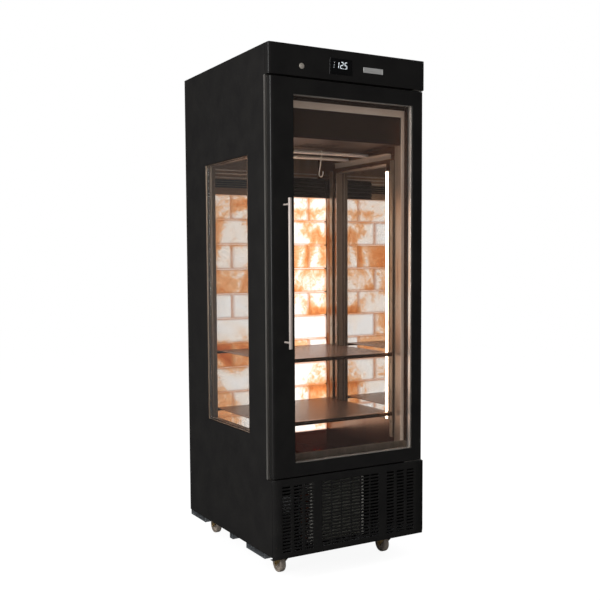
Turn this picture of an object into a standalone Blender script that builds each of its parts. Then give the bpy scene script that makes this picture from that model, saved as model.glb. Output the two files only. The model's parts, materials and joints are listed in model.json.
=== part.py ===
# Dry aging cabinet: a tall glass-fronted cold cabinet on castors.
# Metres, +Z up, front towards -Y, origin at the middle of the footprint on the floor.

import math

import bmesh
import bpy
from mathutils import Matrix, Vector

for old in list(bpy.data.objects):
    bpy.data.objects.remove(old, do_unlink=True)

# Cabinet
WIDTH = 0.730
HEIGHT = 2.080
SHELL_DEPTH = 0.770          # side skins above the base, front edge to back
FRONT_STEP = 0.032           # head, door and base stand this far ahead of that edge
WALL = 0.060                 # insulated wall with both its skins
SHEET = 0.0015               # folded sheet steel
GAP = 0.0003                 # between pieces that touch
OVERRUN = 0.004              # how far a cut runs past what it cuts
UNDERSIDE = 0.115            # bottom edge of the shell
BASE_TOP = 0.4165
HEAD_HEIGHT = 0.117
CORNER_WIDTH = 0.012         # rounded upright corners of head and door
CORNER_DEPTH = 0.005
CORNER_STEPS = 3

# Chamber
FLOOR_SLAB_BOTTOM = 0.400
CHAMBER_FLOOR = 0.450
CEILING_SLAB = 0.051
CEILING_SLAB_GAP = 0.002     # under the head
JAMB_DEPTH = 0.040
RIM_WRAP = 0.010             # the bright rim that wraps round the side edges
LIP_SIDE = 0.018             # lip round the mouth, from the chamber's sides
LIP_LOW = 0.050
LIP_HIGH = 0.056
LIP_FROM_FRONT = 0.023

# Side windows
WINDOW_FROM_FRONT = 0.152    # from the front edge of the side skins
WINDOW_FROM_BACK = 0.219
WINDOW_LOW = 0.573
WINDOW_UNDER_CEILING = 0.230
WINDOW_SLEEVE = 0.003
GLAZING_SETBACK = 0.005
GLAZING = 0.024

# Head
FASCIA_WALL = 0.003
DISPLAY_LEFT = 0.269         # from the left side
DISPLAY_WIDTH = 0.104
DISPLAY_OVER_EDGE = 0.023    # over the bottom edge of the head
DISPLAY_HEIGHT = 0.061
DISPLAY_DEPTH = 0.022
DISPLAY_PROUD = 0.001
LOCK_FROM_LEFT = 0.143
LOCK_OVER_EDGE = 0.039
LOCK_BEZEL_RADIUS = 0.011
LOCK_BEZEL = 0.0025
LOCK_RADIUS = 0.008
LOCK_LENGTH = 0.013
LOCK_KEYWAY = 0.0012
CAM_REACH = 0.008            # how far the cam goes into the door
CAM_HALF = 0.007
CAM_THICKNESS = 0.003

# Door
DOOR_INSET = 0.007           # from each side of the shell
DOOR_DEPTH = 0.029
DOOR_LOW_GAP = 0.006         # over the base, the lower hinge plate lies in it
DOOR_HIGH_GAP = 0.008        # under the head
DOOR_WINDOW_LEFT = 0.106     # from the left side of the shell
DOOR_WINDOW_RIGHT = 0.060    # from its right side
DOOR_WINDOW_LOW = 0.475
DOOR_WINDOW_HIGH = 0.068     # under the head
DOOR_LIP = 0.003
REBATE = 0.012
PANE = 0.004
SPACER_DEPTH = 0.0165
SPACER_WIDTH = 0.014
GASKET_INSET = 0.016
GASKET_WIDTH = 0.014
GASKET_GROOVE = 0.005        # how deep it sits in the door
HANDLE_FROM_LEFT = 0.063
HANDLE_LOW = 0.928
HANDLE_HIGH = 1.500
HANDLE_DIAMETER = 0.014
HANDLE_STANDOFF = 0.045      # door front to the bar's axis
HANDLE_POST_INSET = 0.024
HANDLE_POST_DIAMETER = 0.010
STRIKE_BEFORE = 0.030        # strike plate, left and right of the lock
STRIKE_AFTER = 0.040
STRIKE_DEPTH = 0.018
STRIKE_THICKNESS = 0.0015
STRIKE_SLOT_BEFORE = 0.010
STRIKE_SLOT_AFTER = 0.036
STRIKE_SLOT_DEPTH = 0.012
CAM_CLEARANCE = 0.002

# Door hinges
HINGE_FROM_RIGHT = 0.015
HINGE_FROM_FACE = 0.012
HINGE_PLATE = 0.003
HINGE_UPPER_LENGTH = 0.046
HINGE_LOWER_LENGTH = 0.088
HINGE_EDGE = 0.004           # plate back from the front face and in from the side
HINGE_PIN_RADIUS = 0.004
HINGE_PIN_LENGTH = 0.018
HINGE_PIN_CLEARANCE = 0.0004
HINGE_STEPS = 16

# Base grille: three groups of slot columns
GRILLE_LOW = 0.1264
GRILLE_PITCH = 0.0134
GRILLE_SLOT = 0.006
GRILLE_ROWS = 20
GRILLE_SIDE_SLOT = 0.037
GRILLE_SIDE_GAP = 0.0145
GRILLE_SIDE_COLUMNS = 3
GRILLE_SIDE_MARGIN = 0.047
GRILLE_GROUP_GAP = 0.041
GRILLE_MID_GAP = 0.005
GRILLE_MID_COLUMNS = 6
BASE_LIP = 0.012             # base front below the bottom edge of the shell
BASE_RETURN = 0.020

# Back skin
VENT_LOW = 0.160
VENT_PITCH = 0.022
VENT_SLOT = 0.009
VENT_ROWS = 8
VENT_MARGIN = 0.080
VENT_MIDDLE = 0.120
ROOF_RIM = 0.025

# Chassis
CHASSIS_SHEET = 0.002
BEAM_DROP = 0.023
BEAM_SHARES = ((0.045, 0.255), (0.419, 0.457), (0.787, 0.9935))    # of the depth

# Castors
CASTOR_FROM_SIDE = 0.109
CASTOR_FRONT = 0.083         # swivel axis, from the front edge of the side skins
CASTOR_REAR = 0.075          # from the back
CASTOR_RADIUS = 0.0375
CASTOR_WIDTH = 0.026
CASTOR_TRAIL = 0.028
CASTOR_STEPS = 16
CASTOR_TREAD = 0.007
CASTOR_EDGE = 0.004
CASTOR_HUB = 0.012
CASTOR_WEB = 0.005
AXLE_RADIUS = 0.004
FORK_LEG = 0.0025
FORK_SIDE_ROOM = 0.002
FORK_CROWN = 0.004
FORK_FRONT = 0.022
FORK_REAR = 0.034
FORK_SHOULDER = 0.012
FORK_FOOT = 0.010
RACEWAY_RADIUS = 0.026
RACEWAY_HEIGHT = 0.005
BRAKE_PIVOT = 0.031          # behind the swivel axis
BRAKE_THICKNESS = 0.0025
BRAKE_BEFORE = 0.004
BRAKE_FLAT = 0.010
BRAKE_REACH = 0.022
BRAKE_FALL = 0.010
BRAKE_UNDER_CROWN = 0.0015

# Machine compartment
CONDENSER_LEFT = 0.180
CONDENSER_RIGHT = 0.470
CONDENSER_FRONT = 0.030
CONDENSER_DEPTH = 0.045
CONDENSER_BACKBONE = 0.012
CONDENSER_LOW = 0.120
CONDENSER_HIGH = 0.385
CONDENSER_FINS = 18
FIN_SHARE = 0.35             # share of the fin pitch that is metal
SHROUD_DEPTH = 0.042
SHROUD_FAN_ROOM = 0.006
FAN_RADIUS = 0.085
FAN_HUB = 0.022
FAN_DEPTH = 0.018
FAN_BLADES = 5
BLADE_THICKNESS = 0.002
BLADE_ROOT = 0.012
BLADE_TIP = 0.030
BLADE_PITCH = 26.0
MOTOR_RADIUS = 0.020
MOTOR_LENGTH = 0.040
MOTOR_ARM = 0.005
SHAFT_RADIUS = 0.004
COMPRESSOR_FROM_RIGHT = 0.230
COMPRESSOR_FROM_FRONT = 0.430
COMPRESSOR_RADIUS = 0.078
COMPRESSOR_HEIGHT = 0.200
COMPRESSOR_FOOT = 0.012
COMPRESSOR_FOOT_HALF = 0.095
COMPRESSOR_STEPS = 16
TERMINAL_BOX = 0.060

# Evaporator
EVAPORATOR_SIDE_GAP = 0.004
EVAPORATOR_FRONT = 0.048     # from the front edge of the side skins
EVAPORATOR_BACK = 0.150      # from the chamber's back
EVAPORATOR_DROP = 0.165
EVAPORATOR_SLOT = 0.010
EVAPORATOR_SLOTS = 5
EVAPORATOR_SLOT_PITCH = 0.022
EVAPORATOR_SLOT_LENGTH = 0.160
EVAPORATOR_COIL_FRONT = 0.340
EVAPORATOR_COIL_MARGIN = (0.050, 0.030)    # to the cover's sides and back
EVAPORATOR_COIL_DROP = 0.120
EVAPORATOR_FINS = 14
EVAPORATOR_FAN_FRONT = 0.225
EVAPORATOR_FAN_RADIUS = 0.075
EVAPORATOR_MOTOR = 0.055
EVAPORATOR_FLANGE = 0.036

# Air outlet over the salt wall
OUTLET_FROM_RIGHT = 0.075
OUTLET_WIDTH = 0.177
OUTLET_DEPTH = 0.090
OUTLET_HEIGHT = 0.090
OUTLET_LOUVRES = 5
OUTLET_LOUVRE_DEPTH = 0.010

# Salt wall
SALT_FRONT = 0.095           # from the chamber's back
SALT_BRICK_DEPTH = 0.025
SALT_BACKING = 0.015
SALT_UNDER_CEILING = 0.345
SALT_COURSES = 10
SALT_BRICKS = 3
SALT_SIDE_GAP = 0.010
SALT_JOINT = 0.004
SALT_EDGE = 0.004

# Chamber fittings, fronts from the front edge of the side skins and backs from the chamber's back
LIGHT_FRONT = 0.130
LIGHT_WIDTH = 0.012
LIGHT_DEPTH = 0.010
LIGHT_ROUND = 0.003
LIGHT_UNDER_WINDOW = 0.032   # its top end, below the window's upper edge
UPRIGHT_FRONT = 0.094
UPRIGHT_REAR = 0.135
UPRIGHT_WIDTH = 0.020
UPRIGHT_DEPTH = 0.008
UPRIGHT_LOW = 0.500
UPRIGHT_UNDER_CEILING = 0.222
UPRIGHT_PITCH = 0.132
UPRIGHT_SLOT = 0.018
UPRIGHT_SLOT_WIDTH = 0.005
CLIP_REACH = 0.022
CLIP_THICKNESS = 0.003
SHELF_HEIGHTS = {"lower": 0.612, "upper": 0.870}
SHELF_FRONT = 0.088
SHELF_BACK = 0.112
SHELF_RIM = 0.016
SHELF_SIDE_GAP = 0.002
SHELF_COLUMNS = 6
SHELF_ROWS = 4
SHELF_BORDER = 0.030
SHELF_BAR_SHARE = 0.30       # share of the slot pitch left as metal
RAIL_FRONT = 0.118
RAIL_BACK = 0.154
RAIL_UNDER_CEILING = 0.191
RAIL_HEIGHT = 0.022
RAIL_WIDTH = 0.018
RAIL_SHEET = 0.002
BAR_RADIUS = 0.008
BAR_FRONT = 0.290
BAR_REAR = 0.260
BAR_END_GAP = 0.001
BAR_STEPS = 16
HOOK_PLACES = {"front": 0.060, "rear": -0.120}    # along the bar, from the middle
HOOK_WIRE = 0.003
HOOK_STEM = 0.085
HOOK_LOWER_RADIUS = 0.017
HOOK_BALANCE = 0.0021        # the lower hook's middle, in front of the bar's axis
HOOK_TIP_ANGLE = -35.0
HOOK_STEM_ANGLE = 18.0       # how far the loop runs on before the stem leaves it
HOOK_LOWER_SWEEP = 200.0
HOOK_STEP_ANGLE = 22.0
WIRE_SIDES = 6

# Derived places
DEPTH = SHELL_DEPTH + FRONT_STEP + HANDLE_STANDOFF + HANDLE_DIAMETER / 2
X_LEFT = -WIDTH / 2
X_RIGHT = WIDTH / 2
Y_BACK = DEPTH / 2
Y_EDGE = Y_BACK - SHELL_DEPTH
Y_FACE = Y_EDGE - FRONT_STEP
Y_DOOR_BACK = Y_FACE + DOOR_DEPTH
X_INSIDE = X_RIGHT - SHEET - GAP                 # between the side skins
Y_INSIDE_BACK = Y_BACK - SHEET - GAP
X_CHAMBER = X_RIGHT - WALL                       # chamber side wall face
Y_SLAB_FRONT = Y_EDGE + SHEET + GAP
Y_CHAMBER_BACK = Y_BACK - WALL
HEAD_BOTTOM = HEIGHT - HEAD_HEIGHT
CEILING_SLAB_TOP = HEAD_BOTTOM - CEILING_SLAB_GAP
CHAMBER_CEILING = CEILING_SLAB_TOP - CEILING_SLAB
WINDOW_HIGH = CHAMBER_CEILING - WINDOW_UNDER_CEILING
SALT_TOP = CHAMBER_CEILING - SALT_UNDER_CEILING
UPRIGHT_HIGH = CHAMBER_CEILING - UPRIGHT_UNDER_CEILING
RAIL_TOP = CHAMBER_CEILING - RAIL_UNDER_CEILING
EVAPORATOR_LOW = CHAMBER_CEILING - EVAPORATOR_DROP
DISPLAY_LOW = HEAD_BOTTOM + DISPLAY_OVER_EDGE
LOCK_HEIGHT = HEAD_BOTTOM + LOCK_OVER_EDGE
DOOR_LOW = BASE_TOP + DOOR_LOW_GAP
DOOR_HIGH = HEAD_BOTTOM - DOOR_HIGH_GAP
CAM_LENGTH = LOCK_HEIGHT - DOOR_HIGH + CAM_REACH
Y_WINDOW = (Y_EDGE + WINDOW_FROM_FRONT, Y_BACK - WINDOW_FROM_BACK)
X_HINGE = X_RIGHT - HINGE_FROM_RIGHT
Y_HINGE = Y_FACE + HINGE_FROM_FACE
BEAM_BOTTOM = UNDERSIDE + GAP - BEAM_DROP
CHASSIS_TOP = UNDERSIDE + GAP + CHASSIS_SHEET
FAN_HALF = BLADE_TIP * math.sin(math.radians(BLADE_PITCH)) + BLADE_THICKNESS
CASTOR_AXLE_HEIGHT = CASTOR_RADIUS * math.cos(math.pi / CASTOR_STEPS)
X_LOCK = X_LEFT + LOCK_FROM_LEFT
Y_CAM = Y_FACE + LOCK_LENGTH


# Materials

def make_material(name, colour, roughness, metallic=0.0, alpha=1.0):
    material = bpy.data.materials.new(name)
    material.use_nodes = True
    shader = material.node_tree.nodes["Principled BSDF"]
    shader.inputs["Base Color"].default_value = (*colour, 1.0)
    shader.inputs["Roughness"].default_value = roughness
    shader.inputs["Metallic"].default_value = metallic
    shader.inputs["Alpha"].default_value = alpha
    return material


BLACK_PAINT = make_material("black_paint", (0.012, 0.011, 0.011), 0.40)
STAINLESS = make_material("stainless_steel", (0.55, 0.54, 0.52), 0.28, 1.0)
GALVANISED = make_material("galvanised_steel", (0.50, 0.51, 0.52), 0.45, 1.0)
ZINC_YELLOW = make_material("yellow_zinc", (0.55, 0.38, 0.14), 0.35, 1.0)
GLASS = make_material("glass", (0.85, 0.90, 0.88), 0.02, 0.0, 0.35)
RUBBER = make_material("black_rubber", (0.02, 0.02, 0.02), 0.75)
WHEEL_GREY = make_material("wheel_polymer", (0.36, 0.34, 0.31), 0.55)
DARK_PLASTIC = make_material("dark_plastic", (0.015, 0.015, 0.016), 0.35)
ALUMINIUM = make_material("aluminium", (0.75, 0.76, 0.77), 0.35, 1.0)
CHROME = make_material("chrome", (0.80, 0.80, 0.80), 0.12, 1.0)
SALT = make_material("rock_salt", (0.80, 0.32, 0.12), 0.55)
LIGHT = make_material("light_cover", (0.95, 0.93, 0.88), 0.30)
BRAKE_RED = make_material("brake_lever", (0.16, 0.03, 0.02), 0.50)
MACHINE_BLACK = make_material("machine_black", (0.02, 0.02, 0.02), 0.45)


# Shape tools

def finish(name, bm, material, location=(0, 0, 0), smooth=None):
    mesh = bpy.data.meshes.new(name)
    bm.to_mesh(mesh)
    bm.free()
    if smooth is not None:
        mesh.shade_smooth()
        mesh.set_sharp_from_angle(angle=math.radians(smooth))
    piece = bpy.data.objects.new(name, mesh)
    piece.location = location
    mesh.materials.append(material)
    bpy.context.scene.collection.objects.link(piece)
    return piece


def outward(bm):
    bmesh.ops.recalc_face_normals(bm, faces=bm.faces[:])
    return bm


def place_on(axis, along, u, v):
    # a point from its place along an axis and its two places across it
    if axis == "X":
        return Vector((along, u, v))
    if axis == "Y":
        return Vector((u, along, v))
    return Vector((u, v, along))


def block(name, low, high, material, location=(0, 0, 0)):
    bm = bmesh.new()
    bmesh.ops.create_cube(bm, size=1)
    low, high = Vector(low), Vector(high)
    bmesh.ops.scale(bm, verts=bm.verts, vec=high - low)
    bmesh.ops.translate(bm, verts=bm.verts, vec=(low + high) / 2)
    return finish(name, bm, material, location)


def prism(name, outline, axis, start, end, material, location=(0, 0, 0), smooth=None):
    # an outline of (u, v) points, extruded along the axis
    bm = bmesh.new()
    face = bm.faces.new([bm.verts.new(place_on(axis, start, u, v)) for u, v in outline])
    made = bmesh.ops.extrude_face_region(bm, geom=[face])
    moved = [item for item in made["geom"] if isinstance(item, bmesh.types.BMVert)]
    bmesh.ops.translate(bm, verts=moved, vec=place_on(axis, end - start, 0, 0))
    return finish(name, outward(bm), material, location, smooth)


def sheet_grid(axis, along, u_lines, v_lines, empty=()):
    # a flat sheet of quads between the lines, with the cells (column, row) in empty left open
    columns, rows = len(u_lines) - 1, len(v_lines) - 1
    bm = bmesh.new()
    bmesh.ops.create_grid(bm, x_segments=columns, y_segments=rows, size=1)
    open_cells = set(empty)
    holes = []
    for face in bm.faces:
        middle = face.calc_center_median()
        column = math.floor((middle.x + 1) / 2 * columns)
        row = math.floor((middle.y + 1) / 2 * rows)
        if (column, row) in open_cells:
            holes.append(face)
    bmesh.ops.delete(bm, geom=holes, context="FACES")
    for vert in bm.verts:
        column = round((vert.co.x + 1) / 2 * columns)
        row = round((vert.co.y + 1) / 2 * rows)
        vert.co = place_on(axis, along, u_lines[column], v_lines[row])
    return bm


def thick_plate(name, axis, start, end, u_lines, v_lines, empty, material):
    # the sheet of quads, extruded to a plate between two places on the axis
    bm = sheet_grid(axis, start, u_lines, v_lines, empty)
    made = bmesh.ops.extrude_face_region(bm, geom=bm.faces[:])
    moved = [item for item in made["geom"] if isinstance(item, bmesh.types.BMVert)]
    bmesh.ops.translate(bm, verts=moved, vec=place_on(axis, end - start, 0, 0))
    return finish(name, outward(bm), material)


def fold(bm, wanted, offset):
    # the boundary edges for which wanted(middle) holds are drawn out along offset, as a folded rim
    edges = [edge for edge in bm.edges
             if edge.is_boundary and wanted((edge.verts[0].co + edge.verts[1].co) / 2)]
    made = bmesh.ops.extrude_edge_only(bm, edges=edges)
    moved = [item for item in made["geom"] if isinstance(item, bmesh.types.BMVert)]
    bmesh.ops.translate(bm, verts=moved, vec=Vector(offset))


def folded_sheet(name, bm, facing, thickness, material):
    # the modelled surface is the outer side, and the thickness lies behind it
    outward(bm)
    bm.normal_update()
    bm.faces.ensure_lookup_table()
    if bm.faces[0].normal.dot(Vector(facing)) < 0:
        bmesh.ops.reverse_faces(bm, faces=bm.faces[:])
    piece = finish(name, bm, material)
    solidify = piece.modifiers.new("Thickness", "SOLIDIFY")
    solidify.thickness = thickness
    solidify.solidify_mode = "NON_MANIFOLD"
    solidify.nonmanifold_thickness_mode = "CONSTRAINTS"
    solidify.offset = -1
    return piece


def turned(name, profile, axis, steps, material, location=(0, 0, 0), turn=0.0, closed=False, smooth=40.0):
    # a profile of (radius, along) points spun round the axis through the piece's own origin
    bm = bmesh.new()
    verts = [bm.verts.new(place_on(axis, along, radius if axis != "X" else 0, 0 if axis != "X" else radius))
             for radius, along in profile]
    edges = [bm.edges.new(pair) for pair in zip(verts, verts[1:])]
    if closed:
        edges.append(bm.edges.new((verts[-1], verts[0])))
    spindle = place_on(axis, 1, 0, 0)
    bmesh.ops.spin(bm, geom=verts + edges, cent=(0, 0, 0), axis=spindle, angle=math.tau,
                   steps=steps, use_merge=True)
    bmesh.ops.remove_doubles(bm, verts=bm.verts[:], dist=GAP / 10)
    bmesh.ops.rotate(bm, verts=bm.verts[:], cent=(0, 0, 0), matrix=Matrix.Rotation(turn, 3, spindle))
    return finish(name, outward(bm), material, location, smooth)


def rod(name, axis, radius, start, end, steps, material, location=(0, 0, 0)):
    return turned(name, [(0, start), (radius, start), (radius, end), (0, end)],
                  axis, steps, material, location)


def bent_wire(name, points, radius, material, location):
    # round wire along a path of (y, z) points
    bm = bmesh.new()
    path = [Vector((0, y, z)) for y, z in points]
    rings = []
    for index, point in enumerate(path):
        before, after = path[max(index - 1, 0)], path[min(index + 1, len(path) - 1)]
        along = (after - before).normalized()
        across = along.cross(Vector((1, 0, 0)))
        ring = []
        for step in range(WIRE_SIDES):
            angle = math.tau * step / WIRE_SIDES
            offset = across * math.cos(angle) + Vector((1, 0, 0)) * math.sin(angle)
            ring.append(bm.verts.new(point + offset * radius))
        rings.append(ring)
    for ring, following in zip(rings, rings[1:]):
        for step in range(WIRE_SIDES):
            other = (step + 1) % WIRE_SIDES
            bm.faces.new([ring[step], ring[other], following[other], following[step]])
    bm.faces.new(rings[0])
    bm.faces.new(rings[-1])
    return finish(name, outward(bm), material, location, smooth=50.0)


def combine(piece, other, operation):
    # a Boolean with a helper that is not a piece itself
    other.hide_render = True
    other.display_type = "WIRE"
    modifier = piece.modifiers.new(operation.title(), "BOOLEAN")
    modifier.object = other
    modifier.operation = operation


def pivot(name, location):
    empty = bpy.data.objects.new(name, None)
    empty.location = location
    bpy.context.scene.collection.objects.link(empty)
    return empty


def hang_on(carrier, *pieces):
    # the pieces keep their places and turn with the empty
    for piece in pieces:
        piece.parent = carrier
        piece.matrix_parent_inverse = Matrix.Translation(-carrier.location)


def rounded_front(left, right, back):
    # plan of a front panel whose two front corners are rounded
    points = [(left, back)]
    for step in range(CORNER_STEPS + 1):
        angle = math.radians(90) * step / CORNER_STEPS
        points.append((left + CORNER_WIDTH * (1 - math.cos(angle)),
                       Y_FACE + CORNER_DEPTH * (1 - math.sin(angle))))
    points += [(left + right - x, y) for x, y in reversed(points)]
    return points


def steps_between(start, pitch, size, count):
    # the edges of count equal openings, start being the first edge
    lines = []
    for index in range(count):
        lines += [start + index * pitch, start + index * pitch + size]
    return lines


# Outer shell

def build_side_skin(name, side):
    # L shaped: above the base it stops at the rim, below it runs on to the front
    y_lines = [Y_FACE, Y_EDGE + RIM_WRAP + GAP, *Y_WINDOW, Y_BACK]
    z_lines = [UNDERSIDE, BASE_TOP, WINDOW_LOW, WINDOW_HIGH, HEIGHT]
    window = (2, 2)
    above_base = [(0, 1), (0, 2), (0, 3)]
    return thick_plate(name, "X", side * X_RIGHT, side * (X_RIGHT - SHEET), y_lines, z_lines,
                       [window, *above_base], BLACK_PAINT)


def build_back_skin():
    slot_left = steps_between(-X_INSIDE + VENT_MARGIN, X_INSIDE - VENT_MARGIN + VENT_MIDDLE / 2,
                              X_INSIDE - VENT_MARGIN - VENT_MIDDLE / 2, 2)
    slot_rows = steps_between(VENT_LOW, VENT_PITCH, VENT_SLOT, VENT_ROWS)
    x_lines = [-X_INSIDE, *slot_left, X_INSIDE]
    z_lines = [UNDERSIDE, *slot_rows, HEIGHT]
    empty = [(column, 1 + 2 * row) for column in (1, 3) for row in range(VENT_ROWS)]
    return thick_plate("back_skin", "Y", Y_BACK - SHEET, Y_BACK, x_lines, z_lines, empty, BLACK_PAINT)


def build_roof():
    bm = sheet_grid("Z", HEIGHT, [-X_INSIDE, X_INSIDE], [Y_EDGE + RIM_WRAP + GAP, Y_INSIDE_BACK])
    fold(bm, lambda middle: True, (0, 0, -ROOF_RIM))
    return folded_sheet("roof_panel", bm, (0, 0, 1), SHEET, BLACK_PAINT)


def build_face_frame():
    # stainless frame round the chamber mouth, closed behind the head
    jamb_x = X_CHAMBER - GAP - SHEET
    jamb_low = CHAMBER_FLOOR + GAP + SHEET
    jamb_high = CHAMBER_CEILING - GAP - SHEET
    low = BASE_TOP + GAP
    bm = sheet_grid("Y", Y_EDGE, [X_LEFT, -jamb_x, jamb_x, X_RIGHT], [low, jamb_low, jamb_high, HEIGHT],
                    [(1, 1)])

    def on_outer_rim(middle):
        return abs(middle.x) > X_CHAMBER and middle.z > low or middle.z > CEILING_SLAB_TOP

    def on_jamb(middle):
        return abs(middle.x) < X_CHAMBER and jamb_low - SHEET < middle.z < jamb_high + SHEET

    fold(bm, lambda middle: on_outer_rim(middle) and middle.z > low + GAP, (0, RIM_WRAP, 0))
    fold(bm, lambda middle: on_jamb(middle) and middle.y < Y_EDGE + GAP, (0, JAMB_DEPTH, 0))
    frame = folded_sheet("face_frame", bm, (0, -1, 0), SHEET, STAINLESS)
    inner = X_CHAMBER - LIP_SIDE
    back = Y_EDGE + LIP_FROM_FRONT
    lip = thick_plate("mouth_lip", "Y", back - SHEET, back, [-jamb_x - SHEET / 2, -inner, inner, jamb_x + SHEET / 2],
                      [jamb_low - SHEET / 2, CHAMBER_FLOOR + LIP_LOW, CHAMBER_CEILING - LIP_HIGH,
                       jamb_high + SHEET / 2], [(1, 1)], STAINLESS)
    combine(frame, lip, "UNION")
    return frame


def build_base_grille():
    left = -X_INSIDE
    group_left = X_LEFT + GRILLE_SIDE_MARGIN
    side_pitch = GRILLE_SIDE_SLOT + GRILLE_SIDE_GAP
    side_edges = steps_between(group_left, side_pitch, GRILLE_SIDE_SLOT, GRILLE_SIDE_COLUMNS)
    mid_left = side_edges[-1] + GRILLE_GROUP_GAP
    mid_pitch = (GRILLE_MID_GAP - 2 * mid_left) / GRILLE_MID_COLUMNS
    mid_edges = steps_between(mid_left, mid_pitch, mid_pitch - GRILLE_MID_GAP, GRILLE_MID_COLUMNS)
    far_edges = [-edge for edge in reversed(side_edges)]
    x_lines = [left, *side_edges, *mid_edges, *far_edges, X_INSIDE]
    lowest = UNDERSIDE - BASE_LIP
    z_lines = [lowest, *steps_between(GRILLE_LOW, GRILLE_PITCH, GRILLE_SLOT, GRILLE_ROWS), BASE_TOP]
    columns = 2 * GRILLE_SIDE_COLUMNS + GRILLE_MID_COLUMNS
    slots = [(1 + 2 * column, 1 + 2 * row) for column in range(columns) for row in range(GRILLE_ROWS)]
    bm = sheet_grid("Y", Y_FACE, x_lines, z_lines, slots)
    fold(bm, lambda middle: middle.z > BASE_TOP - GAP, (0, FRONT_STEP - GAP, 0))
    fold(bm, lambda middle: middle.z < lowest + GAP, (0, BASE_RETURN, 0))
    return folded_sheet("base_grille", bm, (0, -1, 0), SHEET, BLACK_PAINT)


def build_chassis():
    # floor sheet with channels under it, open at both ends
    front = Y_FACE + SHEET + GAP
    low, high = UNDERSIDE + GAP, CHASSIS_TOP
    outline = [(Y_INSIDE_BACK, high), (front, high), (front, low)]
    for shares in BEAM_SHARES:
        start, end = (Y_EDGE + share * SHELL_DEPTH for share in shares)
        outline += [(start, low), (start, BEAM_BOTTOM), (end, BEAM_BOTTOM), (end, low)]
    outline.append((Y_INSIDE_BACK, low))
    chassis = prism("chassis", outline, "X", -X_INSIDE, X_INSIDE, GALVANISED)
    for index, shares in enumerate(BEAM_SHARES):
        start, end = (Y_EDGE + share * SHELL_DEPTH for share in shares)
        start, end = start + CHASSIS_SHEET, end - CHASSIS_SHEET
        hollow = [(start, BEAM_BOTTOM + CHASSIS_SHEET), (end, BEAM_BOTTOM + CHASSIS_SHEET), (end, low), (start, low)]
        tunnel = prism(f"chassis_channel_{index}", hollow, "X", -X_INSIDE - OVERRUN, X_INSIDE + OVERRUN, GALVANISED)
        combine(chassis, tunnel, "DIFFERENCE")
    return chassis


# Insulated body

def build_chamber_shell():
    # floor, back and ceiling of the chamber in one foamed profile
    side = X_CHAMBER - GAP
    outline = [(Y_SLAB_FRONT, FLOOR_SLAB_BOTTOM), (Y_INSIDE_BACK, FLOOR_SLAB_BOTTOM),
               (Y_INSIDE_BACK, CEILING_SLAB_TOP), (Y_SLAB_FRONT, CEILING_SLAB_TOP),
               (Y_SLAB_FRONT, CHAMBER_CEILING), (Y_CHAMBER_BACK, CHAMBER_CEILING),
               (Y_CHAMBER_BACK, CHAMBER_FLOOR), (Y_SLAB_FRONT, CHAMBER_FLOOR)]
    return prism("chamber_shell", outline, "X", -side, side, STAINLESS)


def build_wall(name, side):
    y_lines = [Y_SLAB_FRONT, *Y_WINDOW, Y_INSIDE_BACK]
    z_lines = [FLOOR_SLAB_BOTTOM, WINDOW_LOW, WINDOW_HIGH, CEILING_SLAB_TOP]
    return thick_plate(name, "X", side * X_INSIDE, side * X_CHAMBER, y_lines, z_lines, [(1, 1)], STAINLESS)


def build_window(name, side):
    outer_y = (Y_WINDOW[0] + GAP, Y_WINDOW[1] - GAP)
    outer_z = (WINDOW_LOW + GAP, WINDOW_HIGH - GAP)
    inner_y = (outer_y[0] + WINDOW_SLEEVE, outer_y[1] - WINDOW_SLEEVE)
    inner_z = (outer_z[0] + WINDOW_SLEEVE, outer_z[1] - WINDOW_SLEEVE)
    frame = thick_plate(name + "_frame", "X", side * X_RIGHT, side * X_CHAMBER,
                        [outer_y[0], inner_y[0], inner_y[1], outer_y[1]],
                        [outer_z[0], inner_z[0], inner_z[1], outer_z[1]], [(1, 1)], STAINLESS)
    outside = side * (X_RIGHT - GLAZING_SETBACK)
    inside = side * (X_RIGHT - GLAZING_SETBACK - GLAZING)
    glass = block(name + "_glass", (min(outside, inside), inner_y[0] + GAP, inner_z[0] + GAP),
                  (max(outside, inside), inner_y[1] - GAP, inner_z[1] - GAP), GLASS)
    return frame, glass


# Head

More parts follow.
